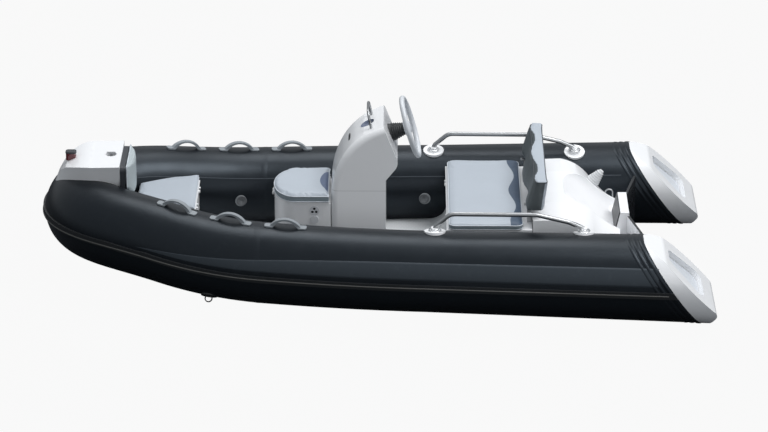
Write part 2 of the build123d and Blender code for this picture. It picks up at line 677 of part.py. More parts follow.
with BuildPart() as bow_step:
    with BuildSketch(Plane.XY.offset(STEP_FOOT)):
        with BuildLine():
            Line((STEP_AFT, -138), (STEP_AFT, 138))
            Line((STEP_AFT, 138), (1590, 150))
            ThreePointArc((1590, 150), (1720, 118), (1800, 60))
            ThreePointArc((1800, 60), (1830, 0), (1800, -60))
            ThreePointArc((1800, -60), (1720, -118), (1590, -150))
            Line((1590, -150), (STEP_AFT, -138))
        make_face()
    with BuildSketch(Plane.XY.offset(STEP_TOP)):
        with BuildLine():
            Line((STEP_AFT, -200), (STEP_AFT, 200))
            Line((STEP_AFT, 200), (1590, 203))
            ThreePointArc((1590, 203), (1700, 165), (1752, 84))
            ThreePointArc((1752, 84), (1762, 0), (1752, -84))
            ThreePointArc((1752, -84), (1700, -165), (1590, -203))
            Line((1590, -203), (STEP_AFT, -200))
        make_face()
    loft(ruled=True)
    with BuildSketch(Plane.XZ):
        with BuildLine():
            Line((STEP_AFT, STEP_FOOT), (STEP_AFT, STEP_TOP))
            Line((STEP_AFT, STEP_TOP), (1600, STEP_TOP - 2))
            ThreePointArc((1600, STEP_TOP - 2), (1690, STEP_TOP - 13), (1752, STEP_TOP - 41))
            ThreePointArc((1752, STEP_TOP - 41), (1800, STEP_TOP - 103), (1830, STEP_FOOT))
            Line((1830, STEP_FOOT), (STEP_AFT, STEP_FOOT))
        make_face()
    extrude(amount=240, both=True, mode=Mode.INTERSECT)
    add(tube_room.part, mode=Mode.SUBTRACT)
    with BuildSketch(Plane.XY.offset(STEP_TOP - CLEAT_DEPTH)):
        with Locations((CLEAT_X, 0)):
            Circle(31)
    extrude(amount=40, mode=Mode.SUBTRACT)

with BuildPart() as bow_cleat:
    with Locations((CLEAT_X, 0, STEP_TOP - CLEAT_DEPTH + FIT)):
        Cylinder(26, 4, align=(Align.CENTER, Align.CENTER, Align.MIN))
        Cylinder(7, 20, align=(Align.CENTER, Align.CENTER, Align.MIN))
    with Locations((CLEAT_X, 0, STEP_TOP - CLEAT_DEPTH + 18)):
        Box(50, 13, 7, align=(Align.CENTER, Align.CENTER, Align.MIN))

with BuildPart() as nav_light:
    with BuildSketch(Plane.XY.offset(LIGHT_Z - 40)):
        with Locations((LIGHT_X, 0)):
            RectangleRounded(58, 44, 14)
    extrude(amount=40)
    add(bow_step.part, mode=Mode.SUBTRACT)

with BuildPart() as nav_light_cap:
    with BuildSketch(Plane.XY.offset(LIGHT_Z + FIT)):
        with Locations((LIGHT_X, 0)):
            RectangleRounded(62, 48, 16)
    extrude(amount=11)
    fillet(nav_light_cap.faces().sort_by(Axis.Z)[-1].edges(), radius=5)

with BuildPart() as bow_backrest:
    with BuildSketch(Plane.XY.offset(LOCKER_TOP + 1)):
        with BuildLine():
            Line((1410, -188), (1410, 188))
            ThreePointArc((1410, 188), (1364, 0), (1410, -188))
        make_face()
    extrude(amount=STEP_TOP - LOCKER_TOP - 5)
    add(tube_room.part, mode=Mode.SUBTRACT)

with BuildPart() as bow_backrest_board:
    with BuildSketch(Plane.YZ.offset(1410 + FIT)):
        with Locations((0, LOCKER_TOP + 1)):
            Rectangle(350, STEP_TOP - LOCKER_TOP - 15, align=(Align.CENTER, Align.MIN))
        fillet(vertices(), radius=24)
    extrude(amount=STEP_AFT - 1410 - 2 * FIT)
    add(tube_room.part, mode=Mode.SUBTRACT)

# Helm.
with BuildPart() as steering_wheel:
    with BuildSketch(
        Plane(origin=WHEEL_CENTRE + Vector(0, WHEEL_R, 0), x_dir=COLUMN_DIR, z_dir=WHEEL_PLANE.y_dir)
    ):
        Circle(RIM_R)
    revolve(axis=Axis(WHEEL_CENTRE, COLUMN_DIR))
    with BuildSketch(WHEEL_PLANE.offset(-34)):
        Circle(42)
    extrude(amount=30)
    with BuildSketch(WHEEL_PLANE.offset(-16)):
        with PolarLocations(WHEEL_R / 2, 3, start_angle=90):
            Rectangle(WHEEL_R, 30)
    extrude(amount=8)

with BuildPart() as helm_boot:
    with BuildSketch(WHEEL_PLANE.offset(-34.4)):
        Circle(30)
    with BuildSketch(WHEEL_PLANE.offset(-120)):
        Circle(52)
    loft(ruled=True)
    add(console.part, mode=Mode.SUBTRACT)

# Grab rails on round bases.
RAIL_PLANE = side_plane(0, RAIL_Y, KNEE_CREST)
with BuildLine(RAIL_PLANE) as rail_path:
    FilletPolyline(*RAIL_PATH, radius=RAIL_BENDS)

with BuildPart() as port_rail:
    with BuildSketch(Plane(origin=rail_path.line @ 0, z_dir=rail_path.line % 0)):
        Circle(RAIL_R)
    sweep(path=rail_path.line)

with BuildPart() as starboard_rail:
    mirror(port_rail.part, about=Plane.XZ)

with BuildPart() as rail_room:
    with BuildSketch(Plane(origin=rail_path.line @ 0, z_dir=rail_path.line % 0)):
        Circle(RAIL_R + FIT)
    sweep(path=rail_path.line)

with BuildPart() as rail_bases:
    for foot_x, foot_rise in (RAIL_PATH[0], RAIL_PATH[-1]):
        share = (KNEE.X - foot_x) / (KNEE.X - AFT.X)
        centre = KNEE + (AFT - KNEE) * share
        radius = TUBE_R + (TUBE_R_AFT - TUBE_R) * share
        inset = RAIL_Y - centre.Y
        normal = Vector(0, inset, (radius**2 - inset**2) ** 0.5).normalized()
        seat = Vector(foot_x, centre.Y, centre.Z) + normal * (radius - 12)
        with BuildSketch(Plane(origin=seat, x_dir=(1, 0, 0), z_dir=normal)):
            Circle(RAIL_BASE_R)
        extrude(amount=19)
        with Locations((foot_x, RAIL_Y, KNEE_CREST + foot_rise - 30)):
            Cone(30, 21, 36, align=(Align.CENTER, Align.CENTER, Align.MIN))
    add(tube_room.part, mode=Mode.SUBTRACT)
    add(rail_room.part, mode=Mode.SUBTRACT)
    mirror(about=Plane.XZ)

# Fittings on the bent tubes: carry handles, valves and tow rings.
with BuildPart() as handles:
    for share in HANDLES:
        run = bow_axis % share
        across = Vector(run.Y, -run.X, 0).normalized()
        rise = across.cross(run)
        crest = bow_axis @ share + rise * TUBE_R
        with BuildSketch(Plane(origin=crest, x_dir=run, z_dir=across)):
            with BuildLine():
                ThreePointArc((-95, -6), (0, 50), (95, -6))
                Line((95, -6), (70, -6))
                ThreePointArc((70, -6), (0, 40), (-70, -6))
                Line((-70, -6), (-95, -6))
            make_face()
        extrude(amount=14, both=True)
        with BuildSketch(Plane(origin=crest - rise * 12, x_dir=run, z_dir=rise)):
            with Locations((-92, 0), (92, 0)):
                RectangleRounded(52, 46, 14)
        extrude(amount=19)
    add(tube_room.part, mode=Mode.SUBTRACT)
    add(tube_run.part, mode=Mode.SUBTRACT)
    mirror(about=Plane.XZ)

with BuildPart() as valves:
    for share in VALVES:
        run = bow_axis % share
        inward = Vector(0, 0, 1).cross(Vector(run.X, run.Y, 0).normalized()) * -1
        with BuildSketch(Plane(origin=bow_axis @ share + inward * (TUBE_R - 6), z_dir=inward)):
            Circle(33)
        extrude(amount=13)
    add(tube_room.part, mode=Mode.SUBTRACT)
    mirror(about=Plane.XZ)

with BuildPart() as tow_rings:
    run = bow_axis % TOW_RING
    outward = Vector(0, 0, 1).cross(Vector(run.X, run.Y, 0).normalized())
    under = (outward * 0.58 - Vector(0, 0, 0.815)).normalized()
    with BuildSketch(Plane(origin=bow_axis @ TOW_RING + under * (TUBE_R - 6), z_dir=under)):
        Circle(45)
    extrude(amount=11)
    with BuildSketch(
        Plane(origin=bow_axis @ TOW_RING + under * (TUBE_R + 18), x_dir=under, z_dir=run.cross(under))
    ):
        Circle(22.5)
        Circle(16.5, mode=Mode.SUBTRACT)
    extrude(amount=3, both=True)
    add(tube_room.part, mode=Mode.SUBTRACT)
    mirror(about=Plane.XZ)

NODES = {
    "port_tube": port_tube,
    "starboard_tube": starboard_tube,
    "bow_tube": bow_tube,
    "port_end_cap": port_end_cap,
    "starboard_end_cap": starboard_end_cap,
    "port_step_pad": port_step_pad,
    "starboard_step_pad": starboard_step_pad,
    "port_rub_strake": port_rub_strake,
    "starboard_rub_strake": starboard_rub_strake,
    "hull": hull,
    "deck": deck,
    "transom": transom,
    "clamp_plate": clamp_plate,
    "aft_deck": aft_deck,
    "cable_boot": cable_boot,
    "stern_eyes": stern_eyes,
    "console": console,
    "console_hoop": console_hoop,
    "console_seat_box": console_seat_box,
    "console_seat_lid": console_seat_lid,
    "console_cushion": console_cushion,
    "seat_vent": seat_vent,
    "bench_box": bench_box,
    "bench_lid": bench_lid,
    "bench_cushion": bench_cushion,
    "backrest": backrest,
    "backrest_frame": backrest_frame,
    "back_brackets": back_brackets,
    "bow_step": bow_step,
    "bow_cleat": bow_cleat,
    "nav_light": nav_light,
    "nav_light_cap": nav_light_cap,
    "bow_backrest": bow_backrest,
    "bow_backrest_board": bow_backrest_board,
    "bow_locker": bow_locker,
    "bow_locker_lid": bow_locker_lid,
    "bow_cushion": bow_cushion,
    "lashing_eye": lashing_eye,
    "lid_hinges": lid_hinges,
    "steering_wheel": steering_wheel,
    "helm_boot": helm_boot,
    "port_rail": port_rail,
    "starboard_rail": starboard_rail,
    "rail_bases": rail_bases,
    "handles": handles,
    "valves": valves,
    "tow_rings": tow_rings,
}
for name, block in NODES.items():
    block.part.label = name
    export_step(block.part, f"parts/{name}.step")
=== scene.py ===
"""Looks for a rigid inflatable boat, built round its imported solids, in metres.

X runs forward, Y to port and Z up, with the origin amidships on the waterline.
"""

from __future__ import annotations

import json
import logging
import math
from dataclasses import dataclass, field
from enum import Enum

import bmesh
import bpy
from bpy.types import ID, Material, Node, NodeSocket, NodeTree, Object
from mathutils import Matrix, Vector
from mathutils.bvhtree import BVHTree

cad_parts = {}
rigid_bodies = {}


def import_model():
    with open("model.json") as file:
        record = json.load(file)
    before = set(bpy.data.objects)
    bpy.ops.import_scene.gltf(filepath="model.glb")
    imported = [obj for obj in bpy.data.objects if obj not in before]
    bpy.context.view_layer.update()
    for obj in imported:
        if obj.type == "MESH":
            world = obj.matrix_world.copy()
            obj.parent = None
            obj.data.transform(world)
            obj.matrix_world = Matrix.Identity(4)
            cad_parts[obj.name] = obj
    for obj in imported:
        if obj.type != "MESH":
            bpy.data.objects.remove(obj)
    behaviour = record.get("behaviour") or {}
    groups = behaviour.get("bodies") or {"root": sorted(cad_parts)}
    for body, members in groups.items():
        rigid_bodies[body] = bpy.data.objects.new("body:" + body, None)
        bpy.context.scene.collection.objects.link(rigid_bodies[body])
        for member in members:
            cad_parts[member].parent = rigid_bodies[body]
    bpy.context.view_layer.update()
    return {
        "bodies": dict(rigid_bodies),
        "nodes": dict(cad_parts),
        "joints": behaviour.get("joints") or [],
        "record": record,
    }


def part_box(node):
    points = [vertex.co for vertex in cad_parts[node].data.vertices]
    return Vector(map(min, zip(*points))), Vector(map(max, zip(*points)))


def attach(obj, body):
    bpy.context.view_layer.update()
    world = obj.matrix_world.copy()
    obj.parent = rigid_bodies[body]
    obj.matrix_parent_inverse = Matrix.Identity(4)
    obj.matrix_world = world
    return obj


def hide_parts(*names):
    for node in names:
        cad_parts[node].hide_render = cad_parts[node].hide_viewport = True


LOG = logging.getLogger("boat")
BORE = 0.0004  # the radius left open at the middle of a turned face
Triple = tuple[float, float, float]
Colour = Triple
Paint = Colour | NodeSocket
Mesh = tuple[list, list]


def linear(red: int, green: int, blue: int) -> Colour:
    """Turn a display colour into a linear one.

    Args:
        red: Red from 0 to 255.
        green: Green from 0 to 255.
        blue: Blue from 0 to 255.

    Returns:
        The linear red, green and blue.
    """
    parts = []
    for value in (red, green, blue):
        share = value / 255
        parts.append(share / 12.92 if share <= 0.04045 else ((share + 0.055) / 1.055) ** 2.4)
    return tuple(parts)


class Value:
    """A shader number that takes the ordinary arithmetic operators."""

    def __init__(self, graph: Graph, socket: NodeSocket) -> None:
        """Keep the graph and the socket."""
        self.graph = graph
        self.socket = socket

    def _math(self, operation: str, *terms: Value | float) -> Value:
        """Add one Math node.

        Args:
            operation: The Math node's operation.
            terms: Its inputs in order.

        Returns:
            The node's result.
        """
        node = self.graph.node("ShaderNodeMath", {"operation": operation}, dict(enumerate(terms)))
        return Value(self.graph, node.outputs[0])

    def __add__(self, other: Value | float) -> Value:
        """Add."""
        return self._math("ADD", self, other)

    def __radd__(self, other: float) -> Value:
        """Add, reflected."""
        return self._math("ADD", other, self)

    def __sub__(self, other: Value | float) -> Value:
        """Subtract."""
        return self._math("SUBTRACT", self, other)

    def __rsub__(self, other: float) -> Value:
        """Subtract, reflected."""
        return self._math("SUBTRACT", other, self)

    def __mul__(self, other: Value | float) -> Value:
        """Multiply."""
        return self._math("MULTIPLY", self, other)

    def __rmul__(self, other: float) -> Value:
        """Multiply, reflected."""
        return self._math("MULTIPLY", other, self)

    def wave(self) -> Value:
        """Sine."""
        return self._math("SINE", self)

    def size(self) -> Value:
        """Absolute value."""
        return self._math("ABSOLUTE", self)

    def below(self, other: Value | float) -> Value:
        """One where this is below the other."""
        return self._math("LESS_THAN", self, other)

    def most(self, other: Value | float) -> Value:
        """The larger of two."""
        return self._math("MAXIMUM", self, other)

    def ease(self, low: float, high: float) -> Value:
        """Rise smoothly from 0 at low to 1 at high.

        Args:
            low: Where the rise starts.
            high: Where the rise ends.

        Returns:
            The eased value.
        """
        node = self.graph.node(
            "ShaderNodeMapRange",
            {"interpolation_type": "SMOOTHSTEP"},
            {"Value": self, "From Min": low, "From Max": high, "To Min": 0.0, "To Max": 1.0},
        )
        return Value(self.graph, node.outputs[0])


class Graph:
    """Builds the nodes of one material."""

    def __init__(self, name: str) -> None:
        """Start an empty material.

        Args:
            name: The material's name.
        """
        self.material = bpy.data.materials.new(name)
        self.material.use_nodes = True
        self.tree = self.material.node_tree
        self.tree.nodes.clear()
        self.output = self.node("ShaderNodeOutputMaterial")

    def node(self, kind: str, settings: dict | None = None, sockets: dict | None = None) -> Node:
        """Add one node.

        Args:
            kind: The node's type.
            settings: Properties, set before the sockets.
            sockets: Values or links by socket name or index.

        Returns:
            The node.
        """
        made = self.tree.nodes.new(kind)
        for name, value in (settings or {}).items():
            setattr(made, name, value)
        for name, value in (sockets or {}).items():
            target = made.inputs[name]
            if isinstance(value, Value):
                self.tree.links.new(value.socket, target)
            elif isinstance(value, NodeSocket):
                self.tree.links.new(value, target)
            else:
                target.default_value = value
        return made

    def place(self) -> NodeSocket:
        """Object coordinates."""
        return self.node("ShaderNodeTexCoord").outputs["Object"]

    def axes(self) -> tuple[Value, Value, Value]:
        """Object coordinates as three numbers."""
        split = self.node("ShaderNodeSeparateXYZ", sockets={0: self.place()})
        return tuple(Value(self, split.outputs[i]) for i in range(3))

    def noise(self, scale: float, detail: float = 2.0, roughness: float = 0.5) -> Value:
        """Add a noise on object coordinates.

        Args:
            scale: Cycles per metre.
            detail: Octaves.
            roughness: How strong the fine octaves are.

        Returns:
            The noise, about 0.5 on average.
        """
        node = self.node(
            "ShaderNodeTexNoise",
            sockets={"Vector": self.place(), "Scale": scale, "Detail": detail, "Roughness": roughness},
        )
        return Value(self, node.outputs[0])

    def blend(self, factor: Value, first: Paint, second: Paint) -> NodeSocket:
        """Mix two colours.

        Args:
            factor: 0 gives the first and 1 the second.
            first: A colour.
            second: A colour.

        Returns:
            The mixed colour.
        """
        pair = [(*c, 1.0) if isinstance(c, tuple) else c for c in (first, second)]
        node = self.node("ShaderNodeMix", {"data_type": "RGBA"}, {0: factor, 6: pair[0], 7: pair[1]})
        return node.outputs[2]

    def bump(
        self, height: Value, distance: float, strength: float = 1.0, under: NodeSocket | None = None
    ) -> NodeSocket:
        """Turn a height into a normal.

        Args:
            height: The height, 0 to 1.
            distance: What a height of 1 stands for, in metres.
            strength: How much of it shows.
            under: A normal that it lies on.

        Returns:
            The normal.
        """
        sockets = {"Height": height, "Distance": distance, "Strength": strength}
        if under is not None:
            sockets["Normal"] = under
        return self.node("ShaderNodeBump", sockets=sockets).outputs[0]

    def surface(self, **sockets: object) -> Material:
        """Finish the material with one principled surface.

        Args:
            sockets: Values or links, with underscores for the spaces in the names.

        Returns:
            The material.
        """
        named = {}
        for name, value in sockets.items():
            if isinstance(value, tuple) and len(value) == 3:
                value = (*value, 1.0)
            named[name.replace("_", " ")] = value
        shader = self.node("ShaderNodeBsdfPrincipled", sockets=named)
        self.tree.links.new(shader.outputs[0], self.output.inputs[0])
        return self.material


@dataclass(frozen=True)
class Moulded:
    """A moulded, cast or coated finish: colour, a soft mottle, a fine skin and parting lines."""

    name: str
    colour: Colour
    roughness: float = 0.4
    mottle: float = 0.06
    skin_scale: float = 260.0
    skin_depth: float = 0.0002
    coat: float = 0.0
    metallic: float = 0.0
    line_z: float | None = None

    def make(self) -> Material:
        """Build the material.

        Returns:
            The material.
        """
        graph = Graph(self.name)
        cloud = graph.noise(3.0, 3.0)
        dark = tuple(c * (1 - self.mottle) for c in self.colour)
        light = tuple(min(1.0, c * (1 + self.mottle)) for c in self.colour)
        tint = graph.blend(cloud.ease(0.35, 0.65), dark, light)
        height = graph.noise(self.skin_scale, 2.0)
        if self.line_z is not None:
            line = (graph.axes()[2] - self.line_z).size().below(0.0011)
            tint = graph.blend(line * 0.55, tint, tuple(c * 0.25 for c in self.colour))
            height = height * 0.2 - line
        return graph.surface(
            Base_Color=tint,
            Roughness=self.roughness + (graph.noise(14.0, 3.0) - 0.5) * 0.12,
            Metallic=self.metallic,
            Coat_Weight=self.coat,
            Coat_Roughness=0.08,
            Normal=graph.bump(height, self.skin_depth),
        )


@dataclass(frozen=True)
class DarkAftMoulding:
    """A white moulding whose aft faces and wing tops are coloured dark."""

    name: str
    colour: Colour
    aft: Colour
    aft_x: float = -1.44
    wing_y: float = 0.14
    wing_rake: float = 0.24
    rim_y: float = 0.152
    rim_z: float = 0.3925

    def make(self) -> Material:
        """Build the material.

        Returns:
            The material.
        """
        graph = Graph(self.name)
        x, y, z = graph.axes()
        reach = y.size()
        behind = (x - self.aft_x + (reach - self.wing_y).most(0.0) * self.wing_rake).below(0.001)
        rim = (self.rim_z - z).below(0.0) * (self.rim_y - reach).below(0.0)
        return graph.surface(
            Base_Color=graph.blend(behind.most(rim), self.colour, self.aft),
            Roughness=0.28 + (graph.noise(14.0, 3.0) - 0.5) * 0.12,
            Normal=graph.bump(graph.noise(40.0, 2.0), 0.0002),
        )


@dataclass(frozen=True)
class TubeFabric:
    """Coated tube fabric: a fine weave, long soft undulations and a light scuff."""

    name: str
    colour: Colour
    roughness: float = 0.4
    pitch: float = 0.0016

    def make(self) -> Material:
        """Build the material.

        Returns:
            The material.
        """
        graph = Graph(self.name)
        x, y, z = graph.axes()
        turn = 2 * math.pi / self.pitch
        weave = (x * turn).wave() * ((z + y) * turn).wave()
        swell = graph.noise(2.2, 2.0)
        skin = graph.bump(weave, 0.00004, 0.6)
        scuff = graph.noise(26.0, 5.0, 0.6).ease(0.52, 0.8)
        worn = tuple(min(1.0, c * 1.5 + 0.004) for c in self.colour)
        return graph.surface(
            Base_Color=graph.blend(scuff * 0.35, self.colour, worn),
            Roughness=self.roughness + (graph.noise(9.0, 3.0) - 0.5) * 0.16,
            Specular_IOR_Level=0.34,
            Specular_Tint=(0.74, 0.87, 1.0),
            Normal=graph.bump(swell, 0.004, 0.5, skin),
        )


class PaintedLight(Enum):
    """Shapes of painted light on a cushion: cast shadows painted on the bench and seat, a lit back and top
    painted on the backrest.
    """

    PLAIN = "plain"
    WAVE = "wave"
    ROUND = "round"
    BACK = "back"


@dataclass(frozen=True)
class Vinyl:
    """Upholstery vinyl with a leather grain, a darker band round the side and a shaped patch of painted
    light: a painted cast shadow on the bench and seat, a painted lit back and top on the backrest.
    """

    name: str
    colour: Colour
    side: Colour
    painted_light_colour: Colour
    shape: PaintedLight
    side_top: float
    roughness: float = 0.5
    # Where the painted shadow of the backrest lies on the bench cushion.
    wave_x: float = -0.776
    wave_pitch: float = 0.44
    wave_depth: float = 0.018
    # Where the painted shadow of the console lies on the seat cushion.
    console_shadow_x: float = 0.059
    console_shadow_square: float = 0.0655
    # Where the painted lit back and top of the backrest lie.
    back_foot: tuple[float, float] = (-0.938, 0.545)
    back_rake: float = 0.123
    back_depth: float = 0.012
    back_top: float = 0.719

    def make(self) -> Material:
        """Build the material.

        Returns:
            The material.
        """
        graph = Graph(self.name)
        x, y, z = graph.axes()
        tint = self.colour
        # Painted shadow of the backrest, cast on the bench cushion along a wavy edge.
        if self.shape is PaintedLight.WAVE:
            turn = y * (2 * math.pi / self.wave_pitch) + math.pi / 2
            tint = graph.blend(x.below(turn.wave() * self.wave_depth + self.wave_x), tint, self.painted_light_colour)
        # Painted shadow of the console, cast round the aft end of the seat cushion.
        elif self.shape is PaintedLight.ROUND:
            reach = (x - self.console_shadow_x) * (x - self.console_shadow_x) + y * y
            tint = graph.blend(reach.below(self.console_shadow_square), tint, self.painted_light_colour)
        # Painted light on the backrest: back and top lit pale, front and ends left in the painted shade of
        # the dark base colour.
        elif self.shape is PaintedLight.BACK:
            rear = x - self.back_foot[0] + (z - self.back_foot[1]) * self.back_rake
            pale = rear.below(self.back_depth).most((self.back_top - z).below(0.0))
            tint = graph.blend(pale, tint, self.painted_light_colour)
        tint = graph.blend(z.below(self.side_top), tint, self.side)
        grain = graph.node(
            "ShaderNodeTexVoronoi",
            {"feature": "DISTANCE_TO_EDGE"},
            {"Vector": graph.place(), "Scale": 420.0},
        )
        pores = Value(graph, grain.outputs["Distance"]).ease(0.0, 0.2)
        cloud = graph.noise(5.0, 3.0)
        shade = graph.node("ShaderNodeHueSaturation", sockets={"Color": tint, "Value": 0.95 + cloud * 0.1})
        return graph.surface(
            Base_Color=shade.outputs[0],
            Roughness=self.roughness + (graph.noise(30.0, 3.0) - 0.5) * 0.15,
            Normal=graph.bump(pores, 0.00018, 0.6, graph.bump(graph.noise(7.0, 2.0), 0.004, 0.35)),
        )


@dataclass(frozen=True)
class Tread:
    """A moulded anti-slip face of small raised diamonds, with painted shade on the low ground between them.
    """

    name: str
    colour: Colour
    pitch: float = 0.012
    roughness: float = 0.6

    def make(self) -> Material:
        """Build the material.

        Returns:
            The material.
        """
        graph = Graph(self.name)
        x, y, z = graph.axes()
        turn = math.pi / self.pitch
        stud = ((x - z * 0.6 + y) * turn).wave() * ((x - z * 0.6 - y) * turn).wave()
        raised = stud.size().ease(0.25, 0.6)
        # The low ground between the diamonds is darker: painted shade.
        low = tuple(c * 0.86 for c in self.colour)
        return graph.surface(
            Base_Color=graph.blend(raised, low, self.colour),
            Roughness=self.roughness + (graph.noise(40.0, 2.0) - 0.5) * 0.1,
            Normal=graph.bump(raised, 0.0008, 0.7),
        )



WHITE = linear(238, 239, 241)
PALE = linear(170, 178, 187)
EDGE = linear(128, 140, 147)
FINISHES = {
    "tube": TubeFabric("coated_fabric_black", linear(17, 20, 24), 0.34),
    "strake": Moulded("strake_rubber", linear(24, 27, 30), 0.5),
    "gelcoat": Moulded("gelcoat_white", WHITE, 0.24, 0.008, 40, 0.0002, 0.25),
    "tread": Tread("tread_grey", linear(205, 210, 216)),
    "cushion": Vinyl("vinyl_pale", PALE, EDGE, PALE, PaintedLight.PLAIN, -1.0),
    # The backrest: a dark base of painted shade, with a painted lit back and top.
    "dark_cushion": Vinyl("vinyl_painted_shade_and_light", linear(86, 93, 96), linear(86, 93, 96), PALE, PaintedLight.BACK, -1.0),
    "steel": Moulded("steel_satin", (0.38, 0.39, 0.40), 0.32, 0.03, 300, 0.00002, 0.0, 1.0),
    "black_rubber": Moulded("rubber_black", linear(38, 41, 43), 0.5),
    "wheel": Moulded("wheel_grey", linear(204, 208, 213), 0.35, 0.03, 300, 0.0001, 0.15),
    "handle": Moulded("handle_grey", linear(138, 144, 149), 0.45),
    "valve": Moulded("valve_grey", linear(122, 126, 129), 0.5),
    "lamp": Moulded("lens_red", linear(96, 38, 44), 0.12, 0.05, 80, 0.0001, 0.6),
    "black_plastic": Moulded("plastic_black", linear(48, 51, 56), 0.45),
    "pale_rubber": Moulded("rubber_pale", linear(222, 224, 226), 0.5),
    "vent": Moulded("vent_pale", linear(212, 214, 218), 0.4),
}
LOOKS = {
    "console": Moulded("gelcoat_console", WHITE, 0.24, 0.008, 40, 0.0003, 0.25, 0.0, 0.559),
    "stripe": TubeFabric("stripe_fabric", linear(48, 53, 58), 0.45),
    # A touch lighter than the tube: painted light on the raised bands and tape.
    "seam": TubeFabric("seam_fabric_painted_light", linear(19, 22, 26), 0.38),
    "seam_pale": TubeFabric("seam_edge", linear(58, 62, 67), 0.5),
    # A pale line for the strakes' highlight: painted highlight.
    "strake_highlight": Moulded("strake_highlight", linear(84, 84, 82), 0.5),
    "piping": Moulded("piping_pale", linear(205, 211, 218), 0.45, 0.03, 500, 0.0001),
    "piping_dark": Moulded("piping_dark", linear(58, 63, 68), 0.45, 0.03, 500, 0.0001),
    # Bench cushion with the backrest's shadow painted on it.
    "bench_vinyl": Vinyl("vinyl_bench", PALE, EDGE, linear(66, 82, 102), PaintedLight.WAVE, 0.468),
    # Console seat cushion with the console's shadow painted on it.
    "seat_vinyl": Vinyl("vinyl_seat", PALE, EDGE, linear(84, 98, 124), PaintedLight.ROUND, 0.528),
    "bow_vinyl": Vinyl("vinyl_bow", PALE, EDGE, PALE, PaintedLight.PLAIN, 0.462),
    "pad_vinyl": Vinyl("vinyl_bow_pad", linear(172, 182, 185), PALE, PALE, PaintedLight.PLAIN, -1.0),
    # Slate for the scoop under the hoop: painted shade in the recess.
    "scoop_shade": Moulded("scoop_painted_shade", linear(96, 106, 128), 0.5),
    "sole": Tread("sole_grip", linear(214, 217, 219), 0.02),
    "ring_steel": Moulded("steel_bright", (0.78, 0.79, 0.8), 0.12, 0.02, 300, 0.00002, 0.0, 1.0),
    # Near-black for the console's slot and the vent's holes: painted shade in the openings.
    "painted_opening_shade": Moulded("opening_painted_shade", linear(34, 36, 40), 0.6),
    "transom": DarkAftMoulding("gelcoat_transom", WHITE, linear(30, 32, 35)),
    "gauze": Moulded("valve_gauze", linear(92, 95, 98), 0.6, 0.2, 900, 0.0006),
}


OWN_LOOKS = {"console": "console", "deck": "sole", "transom": "transom"}


class Shop:
    """Makes the finishes once and hands them out."""

    made: dict[str, Material] = {}

    @classmethod
    def get(cls, name: str) -> Material:
        """Find or make a finish.

        Args:
            name: A slot or a look.

        Returns:
            Its material.
        """
        if name not in cls.made:
            cls.made[name] = (FINISHES.get(name) or LOOKS[name]).make()
        return cls.made[name]


def finish_piece(piece: Object, body: str, node: str | None = None) -> None:
    """Tell the frame what a piece rides on.

    Args:
        piece: The piece.
        body: The body that carries it.
        node: A node that it stands for.
    """
    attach(piece, body)
    if node:
        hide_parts(node)
    LOG.info("made %s", piece.name)


def stand(name: str, data: ID) -> Object:
    """Put a mesh, a lamp or a camera in the scene.

    Args:
        name: The object's name.
        data: What it shows.

    Returns:
        The object.
    """
    thing = bpy.data.objects.new(name, data)
    bpy.context.scene.collection.objects.link(thing)
    return thing


def settle(piece: Object) -> None:
    """Turn a piece's modifiers into plain mesh.

    Args:
        piece: The piece.
    """
    deps = bpy.context.evaluated_depsgraph_get()
    mesh = bpy.data.meshes.new_from_object(piece.evaluated_get(deps))
    piece.modifiers.clear()
    piece.data = mesh


def new_piece(name: str, points: list, faces: list, look: str) -> Object:
    """Make a smooth mesh piece.

    Args:
        name: Its name.
        points: Its points.
        faces: Its faces.
        look: Its finish.

    Returns:
        The piece.
    """
    mesh = bpy.data.meshes.new(name)
    mesh.from_pydata([tuple(p) for p in points], [], faces)
    work = bmesh.new()
    work.from_mesh(mesh)
    bmesh.ops.remove_doubles(work, verts=work.verts, dist=1e-6)
    bmesh.ops.recalc_face_normals(work, faces=work.faces)
    work.to_mesh(mesh)
    work.free()
    mesh.materials.append(Shop.get(look))
    for face in mesh.polygons:
        face.use_smooth = True
    return stand(name, mesh)


def grid_faces(rows: int, columns: int, closed: bool = False) -> list:
    """Faces of a grid of points, row by row.

    Args:
        rows: Rows of points.
        columns: Points in a row.
        closed: Whether it closes on itself both ways.

    Returns:
        The faces.
    """
    faces = []
    for row in range(rows if closed else rows - 1):
        near, far = row * columns, (row + 1) % rows * columns
        for left in range(columns if closed else columns - 1):
            right = (left + 1) % columns
            faces.append((near + left, near + right, far + right, far + left))
    return faces


def joined(parts: list[Mesh]) -> Mesh:
    """Join several meshes.

    Args:
        parts: The points and faces of each.

    Returns:
        All their points and faces.
    """
    points, faces = [], []
    for some_points, some_faces in parts:
        faces += [tuple(i + len(points) for i in face) for face in some_faces]
        points += some_points
    return points, faces


class Repeat(Enum):
    """What a Geometry Nodes tree makes."""

    LINE = "thick_line"
    STUD = "studs"


